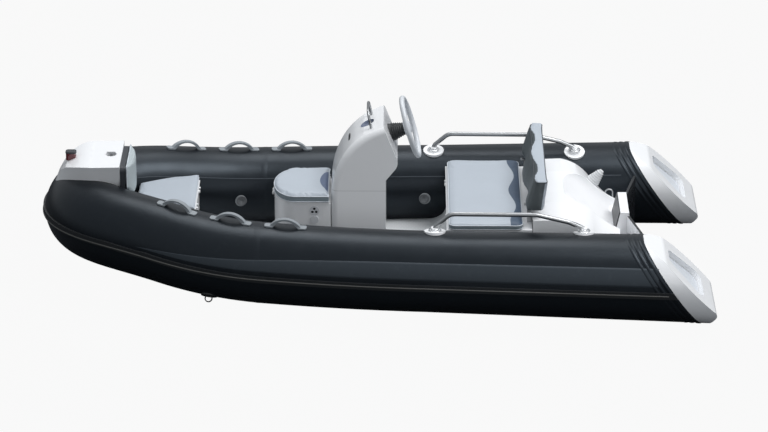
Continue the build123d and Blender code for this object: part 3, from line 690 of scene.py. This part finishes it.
class Runner:
    """Geometry Nodes that thicken a line, or set a stud on each point of a mesh."""

    trees: dict[str, NodeTree] = {}

    @classmethod
    def tree(cls, kind: Repeat) -> NodeTree:
        """Build one tree, once.

        Args:
            kind: What the tree repeats.

        Returns:
            The tree.
        """
        if kind.value in cls.trees:
            return cls.trees[kind.value]
        tree = bpy.data.node_groups.new(kind.value, "GeometryNodeTree")
        add, link, face = tree.nodes.new, tree.links.new, tree.interface
        sorts = {"Radius": "Float", "Depth": "Float", "Sides": "Int", "Material": "Material"}
        for name, sort in {"Geometry": "Geometry", **sorts}.items():
            face.new_socket(name=name, in_out="INPUT", socket_type=f"NodeSocket{sort}")
        face.new_socket(name="Geometry", in_out="OUTPUT", socket_type="NodeSocketGeometry")
        start, end = add("NodeGroupInput"), add("NodeGroupOutput")
        if kind is Repeat.LINE:
            line = add("GeometryNodeMeshToCurve")
            ring = add("GeometryNodeCurvePrimitiveCircle")
            body = add("GeometryNodeCurveToMesh")
            body.inputs["Fill Caps"].default_value = True
            link(start.outputs["Geometry"], line.inputs["Mesh"])
            link(start.outputs["Sides"], ring.inputs["Resolution"])
            link(start.outputs["Radius"], ring.inputs["Radius"])
            link(line.outputs[0], body.inputs["Curve"])
            link(ring.outputs[0], body.inputs["Profile Curve"])
        else:
            stud = add("GeometryNodeMeshCylinder")
            turn = add("GeometryNodeInputNamedAttribute")
            turn.data_type = "FLOAT_VECTOR"
            turn.inputs["Name"].default_value = "turn"
            body = add("GeometryNodeInstanceOnPoints")
            link(start.outputs["Sides"], stud.inputs["Vertices"])
            link(start.outputs["Radius"], stud.inputs["Radius"])
            link(start.outputs["Depth"], stud.inputs["Depth"])
            link(start.outputs["Geometry"], body.inputs["Points"])
            link(stud.outputs["Mesh"], body.inputs["Instance"])
            link(turn.outputs[0], body.inputs["Rotation"])
        real = add("GeometryNodeRealizeInstances")
        dress = add("GeometryNodeSetMaterial")
        link(body.outputs[0], real.inputs[0])
        link(real.outputs[0], dress.inputs["Geometry"])
        link(start.outputs["Material"], dress.inputs["Material"])
        link(dress.outputs[0], end.inputs["Geometry"])
        cls.trees[kind.value] = tree
        return tree

    @classmethod
    def run(
        cls, kind: Repeat, name: str, points: list, edges: list, look: str,
        radius: float, depth: float = 0.002, sides: int = 8, ways: list | None = None,
    ) -> Object:
        """Run a tree and keep the plain mesh.

        Args:
            kind: What is repeated.
            name: The piece's name.
            points: The line's points, or where studs stand.
            edges: The line's edges, or nothing.
            look: The finish.
            radius: The line's or the stud's radius.
            depth: The stud's height.
            sides: Sides of the round.
            ways: Which way each stud faces.

        Returns:
            The piece.
        """
        mesh = bpy.data.meshes.new(name)
        mesh.from_pydata([tuple(p) for p in points], edges, [])
        if ways:
            turn = mesh.attributes.new("turn", "FLOAT_VECTOR", "POINT")
            for place, way in zip(turn.data, ways):
                place.vector = Vector(way).to_track_quat("Z", "Y").to_euler()
        piece = stand(name, mesh)
        step = piece.modifiers.new("make", "NODES")
        step.node_group = cls.tree(kind)
        values = {"Radius": radius, "Depth": depth, "Sides": sides, "Material": Shop.get(look)}
        for item in step.node_group.interface.items_tree:
            if item.in_out == "INPUT" and item.name in values:
                step[item.identifier] = values[item.name]
        settle(piece)
        piece.data.name = name
        for face in piece.data.polygons:
            face.use_smooth = kind is Repeat.LINE
        return piece


def chain(path: list, closed: bool = False) -> list:
    """Edges that join a path's points in order.

    Args:
        path: The points.
        closed: Whether the last joins the first.

    Returns:
        The edges.
    """
    edges = [(i, i + 1) for i in range(len(path) - 1)]
    return edges + [(len(path) - 1, 0)] if closed else edges


def mirrored(points: list) -> list:
    """The same points on the other side."""
    return [Vector((p[0], -p[1], p[2])) for p in points]


@dataclass
class Lathe:
    """A turned shape: a profile of radius and height about an axis."""

    name: str
    centre: Triple | Vector
    axis: Triple | Vector
    profile: list[tuple[float, float]]
    look: str
    sides: int = 48

    def mesh(self) -> Mesh:
        """Turn the profile round the axis.

        Returns:
            The points and faces.
        """
        along = Vector(self.axis).normalized()
        side = along.orthogonal().normalized()
        other = along.cross(side)
        points = []
        for radius, height in self.profile:
            level = Vector(self.centre) + along * height
            for step in range(self.sides):
                angle = 2 * math.pi * step / self.sides
                points.append(level + (side * math.cos(angle) + other * math.sin(angle)) * radius)
        return points, grid_faces(len(self.profile), self.sides, closed=True)

    def build(self, body: str, slot: str) -> None:
        """Make the piece and tell the frame about it."""
        finish_piece(new_piece(self.name, *self.mesh(), self.look), body)


@dataclass
class TubeLine:
    """The port tube's axis: a straight run, two arcs and a curved bow."""

    aft: Vector = field(default_factory=lambda: Vector((-1.95, 0.6988, 0.2468)))
    knee: Vector = field(default_factory=lambda: Vector((-0.3, 0.6316, 0.2617)))
    bends: tuple = ((0.6005, 0.5571, 0.278), (1.1557, 0.4241, 0.3361))
    bow: tuple = ((1.4284, 0.3253, 0.3873), (1.657, 0.255, 0.3876), (1.657, 0.0, 0.3876))
    radius: float = 0.2264
    radius_aft: float = 0.245
    run_steps: int = 56
    bend_steps: int = 30
    bow_steps: int = 40
    samples: list = field(default_factory=list)

    def __post_init__(self) -> None:
        """Sample the axis as centre, direction and radius."""
        run = (self.knee - self.aft).normalized()
        for step in range(self.run_steps):
            share = step / self.run_steps
            radius = self.radius_aft + (self.radius - self.radius_aft) * share
            self.samples.append((self.aft.lerp(self.knee, share), run, radius))
        start, heading = self.knee, run
        for bend in self.bends:
            chord = Vector(bend) - start
            inward = (chord - heading * chord.dot(heading)).normalized()
            half = chord.angle(heading)
            turn = chord.length / (2 * math.sin(half))
            for step in range(self.bend_steps):
                angle = 2 * half * step / self.bend_steps
                centre = start + heading * turn * math.sin(angle) + inward * turn * (1 - math.cos(angle))
                way = heading * math.cos(angle) + inward * math.sin(angle)
                self.samples.append((centre, way, self.radius))
            heading = heading * math.cos(2 * half) + inward * math.sin(2 * half)
            start = Vector(bend)
        one, two, tip = (Vector(p) for p in self.bow)
        for step in range(self.bow_steps + 1):
            t = step / self.bow_steps
            left = 1 - t
            centre = start * left**3 + one * 3 * t * left**2 + two * 3 * t * t * left + tip * t**3
            way = (one - start) * left**2 + (two - one) * 2 * t * left + (tip - two) * t * t
            self.samples.append((centre, way.normalized(), self.radius))

    def on(self, sample: int, angle: float, lift: float = 0.0) -> Vector:
        """A point on the tube.

        Args:
            sample: Which sample of the axis.
            angle: Degrees up from the outward side.
            lift: How far off the fabric.

        Returns:
            The point.
        """
        centre, way, radius = self.samples[sample]
        outward = Vector((0, 0, 1)).cross(way).normalized()
        up = way.cross(outward)
        turn = math.radians(angle)
        return centre + (outward * math.cos(turn) + up * math.sin(turn)) * (radius + lift)

    def cut(self, angle: float, normal: Vector, origin: Vector, lift: float) -> Vector:
        """Where the line at an angle crosses a plane.

        Args:
            angle: Degrees up from the outward side.
            normal: The plane's normal.
            origin: A point on the plane.
            lift: How far off the fabric.

        Returns:
            The point.
        """
        before = self.on(0, angle, lift)
        for sample in range(1, len(self.samples)):
            after = self.on(sample, angle, lift)
            first, second = (before - origin).dot(normal), (after - origin).dot(normal)
            if (first <= 0) != (second <= 0):
                return before.lerp(after, first / (first - second))
            before = after
        return before


@dataclass
class Tubes:
    """The tubes' stripe, seams, bands and tape."""

    line: TubeLine
    stripe_ends: tuple[float, float] = (-1.91, 1.27)
    stripe_low: float = 10.0
    stripe_high: float = 36.0
    stripe_taper: float = 1.5
    stripe_bevel: float = 0.3
    stripe_gap: float = 0.012
    seam_gap: float = 0.09
    bead_gap: float = 0.02
    cap_normal: Triple = (0.814, 0.0, -0.581)
    cap_origin: Triple = (-1.655, 0.69, 0.25)
    end_bands: tuple = ((0.004, 0.022, 0.003), (0.034, 0.02, 0.0022), (0.062, 0.018, 0.0016))
    band_slope: float = 0.005
    band_steps: int = 96
    seam_x: float = 0.65
    tape_width: float = 0.044
    tape_lift: float = 0.0006
    tape_slope: float = 0.014
    seam_stop: int = 22
    long_seam: tuple = ((146.4, -0.001), (146.7, 0.001), (147.6, 0.001), (147.9, -0.001))
    bead_lift: float = 0.0105
    bead_radius: float = 0.0042

    def ahead(self, point: Vector) -> float:
        """How far a point lies ahead of the end cap's face."""
        return (point - Vector(self.cap_origin)).dot(Vector(self.cap_normal))

    def ribbon(self, name: str, rows: list, look: str) -> None:
        """Lay one strip of fabric on both tubes.

        Args:
            name: The piece's name.
            rows: Rows of points on the port side, each across the strip.
            look: The finish.
        """
        faces = grid_faces(len(rows), len(rows[0]))
        points = [point for row in rows for point in row]
        mesh = joined([(points, faces), (mirrored(points), faces)])
        finish_piece(new_piece(name, *mesh, look), "boat")

    def stripe(self) -> None:
        """Lay the side stripe, which tapers to a point near the bow."""
        rows = []
        for sample, (centre, _, _) in enumerate(self.line.samples):
            if not self.stripe_ends[0] < centre.x < self.stripe_ends[1]:
                continue
            ease = min(1.0, (self.stripe_ends[1] - centre.x) / self.stripe_taper)
            low, tall = self.stripe_low, (self.stripe_high - self.stripe_low) * ease * (2 - ease)
            row = [self.line.on(sample, low, -0.001)]
            for step in range(9):
                rise = self.stripe_bevel + (tall - 2 * self.stripe_bevel) * step / 8
                row.append(self.line.on(sample, low + rise, 0.0012))
            row.append(self.line.on(sample, low + tall, -0.001))
            if self.ahead(row[5]) >= self.stripe_gap:
                rows.append(row)
        self.ribbon("tube_stripe", rows, "stripe")

    def band(
        self, name: str, normal: Vector, origin: Vector, width: float, lift: float, edge: float
    ) -> None:
        """Wrap one band round both tubes.

        Args:
            name: The piece's name.
            normal: The way along the tube.
            origin: Where the band starts.
            width: Its width.
            lift: Its thickness.
            edge: How far its edges slope.
        """
        crown, sunk = lift * 1.15, -0.0004
        profile = ((0.0, sunk), (edge, lift), (width / 2, crown), (width - edge, lift), (width, sunk))
        rows = []
        for step in range(self.band_steps + 1):
            turn = 360 * step / self.band_steps
            row = [self.line.cut(turn, normal, origin + normal * along, high) for along, high in profile]
            rows.append(row)
        self.ribbon(name, rows, "seam")

    def bands(self) -> None:
        """Wrap the raised bands by the end caps, and the tape over the bow's seam."""
        normal = Vector(self.cap_normal).normalized()
        for count, (gap, width, lift) in enumerate(self.end_bands):
            origin = Vector(self.cap_origin) + normal * gap
            self.band(f"end_band_{count + 1}", normal, origin, width, lift, self.band_slope)
        start = Vector((self.seam_x - self.tape_width / 2, 0, 0))
        self.band("bow_seam_tape", Vector((1, 0, 0)), start, self.tape_width, self.tape_lift, self.tape_slope)

    def seams(self) -> None:
        """Lay the long seam inside each tube."""
        samples = range(len(self.line.samples) - self.seam_stop)
        rows = [[self.line.on(sample, *edge) for edge in self.long_seam] for sample in samples]
        self.ribbon("inner_seam", [row for row in rows if self.ahead(row[0]) > self.seam_gap], "seam_pale")

    def bead(self) -> None:
        """Run a pale bead of painted highlight along the middle of the strakes, round the bow."""
        path = [self.line.on(sample, 0.0, self.bead_lift) for sample in range(len(self.line.samples))]
        path = [point for point in path if self.ahead(point) > self.bead_gap]
        path += mirrored(path[:-1])[::-1]
        piece = Runner.run(Repeat.LINE, "strake_highlight_bead", path, chain(path), "strake_highlight", self.bead_radius)
        finish_piece(piece, "boat")

    def build(self) -> None:
        """Make all of it."""
        self.stripe()
        self.bands()
        self.seams()
        self.bead()


@dataclass
class Pad:
    """One cushion, filled by a cloth simulation, with its piping."""

    node: str
    body: str
    look: str
    slot: str
    voxel: float
    cap: float
    fill: float
    floor_z: float | None = None
    piping: tuple = ()
    piping_look: str = "piping"
    shrink: float = 0.003
    slack: float = 0.001
    pressure: float = 4.0
    frames: int = 20
    piping_steps: int = 220
    piping_sink: float = 0.4

    def start(self, solid: Object) -> Object:
        """Copy the solid, a little smaller, as one closed mesh.

        Args:
            solid: The cushion's solid.

        Returns:
            The copy.
        """
        low, high = (Vector(c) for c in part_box(self.node))
        middle, size = (low + high) / 2, high - low
        work = bmesh.new()
        work.from_mesh(solid.data)
        bmesh.ops.remove_doubles(work, verts=work.verts, dist=2e-5)
        for vert in work.verts:
            for axis in range(3):
                share = 1 - 2 * self.shrink / size[axis]
                vert.co[axis] = middle[axis] + (vert.co[axis] - middle[axis]) * share
        mesh = bpy.data.meshes.new(f"{self.node}_soft")
        work.to_mesh(mesh)
        work.free()
        piece = stand(f"{self.node}_soft", mesh)
        step = piece.modifiers.new("voxel", "REMESH")
        step.mode = "VOXEL"
        step.voxel_size = self.voxel
        settle(piece)
        return piece

    def swell(self, piece: Object) -> None:
        """Blow the pad up, then hold how far it moved.

        Args:
            piece: The pad.
        """
        rest = [v.co.copy() for v in piece.data.vertices]
        cloth = piece.modifiers.new("cloth", "CLOTH")
        cloth.settings.use_pressure = True
        cloth.settings.uniform_pressure_force = self.pressure
        cloth.settings.effector_weights.gravity = 0.0
        cloth.point_cache.frame_start = 1
        cloth.point_cache.frame_end = self.frames
        scene = bpy.context.scene
        for frame in range(1, self.frames + 1):
            scene.frame_set(frame)
        settle(piece)
        scene.frame_set(1)
        low, high = (Vector(c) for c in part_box(self.node))
        for vert, before in zip(piece.data.vertices, rest):
            move = vert.co - before
            if move.length > self.cap:
                move *= self.cap / move.length
            vert.co = before + move
            for axis in (0, 1):
                vert.co[axis] = min(max(vert.co[axis], low[axis] - self.slack), high[axis] + self.slack)
            vert.co.z = max(vert.co.z, low.z if self.floor_z is None else self.floor_z)

    def seam(self, piece: Object) -> None:
        """Run the piping round the pad, on its face.

        Args:
            piece: The pad.
        """
        tree = BVHTree.FromObject(piece, bpy.context.evaluated_depsgraph_get())
        low, high = (Vector(c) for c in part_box(self.node))
        for count, (axis, level, radius) in enumerate(self.piping):
            path = []
            spare = [i for i in range(3) if i != axis]
            reach = max(high[i] - low[i] for i in spare)
            centre = (low + high) / 2
            centre[axis] = level
            for step in range(self.piping_steps):
                angle = 2 * math.pi * step / self.piping_steps
                aim = Vector((0, 0, 0))
                for i, share in zip(spare, (math.cos(angle), math.sin(angle))):
                    aim[i] = share * (high[i] - low[i]) / 2
                aim.normalize()
                hit, normal, _, _ = tree.ray_cast(centre + aim * reach, -aim)
                if hit is not None:
                    path.append(hit + normal * radius * self.piping_sink)
            name = f"{self.node}_piping_{count + 1}"
            cord = Runner.run(Repeat.LINE, name, path, chain(path, closed=True), self.piping_look, radius)
            finish_piece(cord, self.body)

    def build(self, frame: dict) -> None:
        """Make the pad.
        """
        piece = self.start(frame["nodes"][self.node])
        self.swell(piece)
        piece.data.materials.clear()
        piece.data.materials.append(Shop.get(self.look))
        smooth = piece.modifiers.new("smooth", "SUBSURF")
        smooth.levels = smooth.render_levels = 1
        settle(piece)
        for face in piece.data.polygons:
            face.use_smooth = True
        if self.piping:
            self.seam(piece)
        finish_piece(piece, self.body, self.node)


@dataclass
class Upholstery:
    """All the cushions."""

    pads: tuple = (
        Pad("console_cushion", "seat_lid", "seat_vinyl", "cushion", 0.005, 0.009, 0.85, 0.4903,
            ((2, 0.529, 0.0028), (2, 0.4985, 0.0024))),
        Pad("bench_cushion", "bench_top", "bench_vinyl", "cushion", 0.007, 0.009, 0.85, 0.4403,
            ((2, 0.469, 0.0028), (2, 0.4475, 0.0024))),
        Pad("bow_cushion", "bow_lid", "bow_vinyl", "cushion", 0.006, 0.007, 0.8, 0.4423,
            ((2, 0.463, 0.0025),)),
        Pad("backrest", "seat_back", "dark_cushion", "dark_cushion", 0.007, 0.008, 0.85, None,
            ((2, 0.716, 0.0028),), "piping_dark"),
        Pad("bow_backrest", "boat", "pad_vinyl", "cushion", 0.006, 0.006, 0.8, None, ((0, 1.401, 0.0025),)),
    )

    def build(self, frame: dict) -> None:
        """Make every pad.
        """
        for pad in self.pads:
            pad.build(frame)


@dataclass
class Helm:
    """The wheel's bellows and hub cap, and painted shade in the console's scoop and slot and in the seat
    vent's holes.
    """

    centre: Triple = (-0.198, 0.0, 0.874)
    column: Triple = (-0.957, 0.0, 0.29)
    ribs: int = 6
    rib_start: float = 0.036
    rib_pitch: float = 0.0115
    rib_radius: float = 0.0335
    rib_growth: float = 0.0029
    sleeve_bore: float = 0.020
    hoop_axis: Triple = (0.425, 0.0, 0.905)
    hoop_foot: Triple = (0.045, 0.0, 0.897)
    scoop_depth: float = 0.0138
    slot_half: float = 0.05
    slot_tall: float = 0.014
    slot_z: float = 0.812
    vent_y: float = 0.1862
    vent_holes: tuple = ((0.344, 0.448), (0.333, 0.429), (0.355, 0.429))

    def bellows(self) -> None:
        """Turn the ribbed sleeve over the column."""
        along = -Vector(self.column).normalized()
        profile = [(self.sleeve_bore, self.rib_start)]
        for rib in range(self.ribs):
            start = self.rib_start + rib * self.rib_pitch
            root = self.rib_radius + rib * self.rib_growth - 0.001
            crest = self.rib_radius + rib * self.rib_growth + 0.0035
            profile += [(root, start), (crest, start + 0.004), (crest, start + 0.007), (root, start + 0.0105)]
        profile.append((self.sleeve_bore, self.rib_start + self.ribs * self.rib_pitch))
        Lathe("column_bellows", self.centre, along, profile, "black_rubber").build("boat", "black_rubber")

    def hub(self) -> None:
        """Turn the cap on the wheel's hub."""
        axis = Vector(self.column).normalized()
        cap = [(BORE, 0.004), (0.022, 0.0038), (0.03, 0.001), (0.033, -0.005), (BORE, -0.005)]
        Lathe("wheel_hub_cap", self.centre, axis, cap, "wheel").build("steering", "wheel")

    def scoop(self) -> None:
        """Lay a slate disc of painted shade in the scoop under the hoop."""
        normal = Vector(self.hoop_axis).normalized()
        base = Vector(self.hoop_foot) - normal * self.scoop_depth
        outside = [(BORE, 0.0), (0.0412, 0.0), (0.0418, 0.013)]
        inside = [(0.0406, 0.013), (0.0402, 0.001), (BORE, 0.001)]
        Lathe("scoop_shade_disc", base, normal, outside + inside, "scoop_shade").build("boat", "gelcoat")

    def slot(self, console: Object) -> None:
        """Lay a dark strip of painted shade, standing for the slot, on the console's curved front.

        Args:
            console: The console.
        """
        tree = BVHTree.FromObject(console, bpy.context.evaluated_depsgraph_get())
        points, rows, half = [], 4, 6
        for row in range(rows):
            for column in range(-half, half + 1):
                edge = 1 - (abs(column) / half) ** 4 * 0.5
                rise = (row / (rows - 1) - 0.5) * self.slot_tall * edge
                start = Vector((0.6, column / half * self.slot_half, self.slot_z + rise))
                hit, normal, _, _ = tree.ray_cast(start, Vector((-1, 0, 0)))
                points.append(hit + normal * 0.0006)
        piece = new_piece("console_front_slot", points, grid_faces(rows, 2 * half + 1), "painted_opening_shade")
        finish_piece(piece, "boat")

    def holes(self) -> None:
        """Set a dark disc of painted shade behind each hole of the seat's vent."""
        disc = [(BORE, 0.0), (0.0078, 0.0), (0.0078, -0.0004), (BORE, -0.0004)]
        places = [(x, self.vent_y, z) for x, z in self.vent_holes]
        parts = [Lathe("hole", place, (0, 1, 0), disc, "painted_opening_shade", 24).mesh() for place in places]
        finish_piece(new_piece("vent_holes", *joined(parts), "painted_opening_shade"), "boat")

    def build(self, console: Object) -> None:
        """Make all of it.

        Args:
            console: The console.
        """
        self.bellows()
        self.hub()
        self.scoop()
        self.slot(console)
        self.holes()


@dataclass
class Fittings:
    """Rings, ribs, gauze and screws on the small fittings."""

    line: TubeLine
    rail_feet: tuple = ((-0.335, 0.018), (-1.16, 0.018))
    rail_y: float = 0.593
    crest: float = 0.4881
    rings: tuple = ((0.033, -0.0005, 0.0035), (0.0225, 0.009, 0.0028))
    ring_sink: float = 0.010
    boot_foot: Triple = (-1.236, -0.3, 0.396)
    boot_axis: Triple = (-0.62, 0.0, 0.785)
    boot_rib_count: int = 6
    valve_x: tuple = (-0.2737, 0.8322)
    stud_rings: tuple = ((0.007, 6), (0.014, 12), (0.020, 18))

    def rail_rings(self) -> None:
        """Set two bright rings round each foot of the rails."""
        parts, turns = [], [2 * math.pi * step / 8 for step in range(8)]
        for foot, rise in self.rail_feet:
            for side in (1, -1):
                for radius, height, thick in self.rings:
                    base = (foot, side * self.rail_y, self.crest + rise + height - self.ring_sink)
                    ring = [(radius + thick * math.cos(turn), thick * math.sin(turn)) for turn in turns]
                    parts.append(Lathe("ring", base, (0, 0, 1), ring, "steel", 40).mesh())
        finish_piece(new_piece("rail_foot_rings", *joined(parts), "ring_steel"), "boat")

    def boot_ribs(self) -> None:
        """Turn the ribs of the stern cable boot."""
        axis = Vector(self.boot_axis).normalized()
        shape = ((-0.003, 0.0), (0.004, 0.002), (0.0035, 0.006), (-0.005, 0.0095))
        profile = [(0.008, 0.03)]
        for rib in range(self.boot_rib_count):
            start, radius = 0.03 + rib * 0.0125, 0.037 - rib * 0.0037
            profile += [(radius + out, start + along) for out, along in shape]
        profile.append((0.006, 0.03 + self.boot_rib_count * 0.0125))
        ribs = Lathe("cable_boot_ribs", self.boot_foot, axis, profile, "pale_rubber", 36)
        ribs.build("boat", "pale_rubber")

    def gauze(self) -> None:
        """Set the gauze face and studs in each valve."""
        parts, studs, ways, up = [], [], [], Vector((0, 0, 1))
        rim = [(0.024, 0.0), (0.026, 0.0016), (0.029, 0.0016), (0.030, -0.0005)]
        for station in self.valve_x:
            centre, way, radius = min(self.line.samples, key=lambda sample: abs(sample[0].x - station))
            for side in (1, -1):
                inward = -up.cross(way).normalized()
                face = centre + inward * (radius + 0.0072)
                flip = Vector((1, side, 1))
                face, aim = face * flip, inward * flip
                profile = [(BORE, 0.0), *rim, (BORE, -0.0005)]
                parts.append(Lathe("gauze", face, aim, profile, "gauze", 36).mesh())
                across = up.cross(aim).normalized()
                for ring, count in self.stud_rings:
                    for step in range(count):
                        turn = 2 * math.pi * step / count
                        studs.append(face + across * ring * math.cos(turn) + up * ring * math.sin(turn))
                        ways.append(aim)
        finish_piece(new_piece("valve_gauze", *joined(parts), "gauze"), "boat")
        piece = Runner.run(Repeat.STUD, "valve_studs", studs, [], "valve", 0.0016, 0.002, 6, ways)
        finish_piece(piece, "boat")

    def build(self) -> None:
        """Make all of it."""
        self.rail_rings()
        self.boot_ribs()
        self.gauze()


@dataclass
class Studio:
    """The floor, the lamps and the camera."""

    target: Triple = (-0.049, 0.0, 0.324)
    elevation: float = 23.34
    turn: float = -0.38
    distance: float = 19.88
    lens_px: float = 3476.5
    frame_px: int = 768
    floor_half: float = 60.0
    floor_colour: Colour = (0.06, 0.065, 0.07)
    floor_white: float = 0.94
    world_colour: Colour = (0.92, 0.96, 1.0)
    world_strength: float = 0.5
    lamps: tuple = (
        ("key", (-6.0, 1.0, 12.0), 6.0, 1080.0),
        ("sky", (0.6, -4.6, 9.6), 5.0, 330.0),
        ("front", (-2.6, 7.0, 3.4), 4.5, 62.0),
    )

    def camera(self) -> None:
        """Set the camera."""
        tilt, turn = math.radians(self.elevation), math.radians(self.turn)
        back = Vector((math.sin(turn) * math.cos(tilt), math.cos(turn) * math.cos(tilt), math.sin(tilt)))
        data = bpy.data.cameras.new("camera")
        data.sensor_width = 36.0
        data.lens = 36.0 * self.lens_px / self.frame_px
        data.clip_end = 200.0
        eye = stand("camera", data)
        eye.location = Vector(self.target) + back * self.distance
        eye.rotation_euler = back.to_track_quat("Z", "Y").to_euler()
        bpy.context.scene.camera = eye

    def floor(self) -> None:
        """Lay the floor at the waterline."""
        mesh = bpy.data.meshes.new("floor")
        half = self.floor_half
        corners = [(-half, -half, 0), (half, -half, 0), (half, half, 0), (-half, half, 0)]
        mesh.from_pydata(corners, [], [(0, 1, 2, 3)])
        floor = stand("floor", mesh)
        graph = Graph("floor_white")
        path = graph.node("ShaderNodeLightPath")
        seen = Value(graph, path.outputs["Is Camera Ray"])
        plain = graph.node("ShaderNodeBsdfDiffuse", sockets={"Color": (*self.floor_colour, 1)})
        glow = graph.node("ShaderNodeEmission", sockets={"Color": (1, 1, 1, 1), "Strength": 1.0})
        sockets = {0: seen * self.floor_white, 1: plain.outputs[0], 2: glow.outputs[0]}
        mixed = graph.node("ShaderNodeMixShader", sockets=sockets)
        graph.tree.links.new(mixed.outputs[0], graph.output.inputs[0])
        mesh.materials.append(graph.material)

    def light(self) -> None:
        """Set the world and the lamps."""
        world = bpy.data.worlds.new("studio")
        bpy.context.scene.world = world
        world.use_nodes = True
        sky = world.node_tree.nodes["Background"]
        sky.inputs[0].default_value = (*self.world_colour, 1)
        sky.inputs[1].default_value = self.world_strength
        for name, place, size, power in self.lamps:
            data = bpy.data.lights.new(name, "AREA")
            data.size, data.energy = size, power
            lamp = stand(name, data)
            lamp.location = place
            lamp.rotation_euler = Vector(place).to_track_quat("Z", "Y").to_euler()

    def build(self) -> None:
        """Make the studio."""
        bpy.context.scene.view_settings.view_transform = "Standard"
        self.camera()
        self.floor()
        self.light()


def main() -> None:
    """Build the boat's looks in order."""
    logging.basicConfig(level=logging.INFO, format="%(message)s")
    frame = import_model()
    Studio().build()
    for part in frame["record"]["subparts"]:
        look = OWN_LOOKS.get(part["node"], part["material_slot"])
        for slot in frame["nodes"][part["node"]].material_slots:
            slot.material = Shop.get(look)
    line = TubeLine()
    Tubes(line).build()
    Upholstery().build(frame)
    Helm().build(frame["nodes"]["console"])
    Fittings(line).build()


if __name__ == "__main__":
    main()
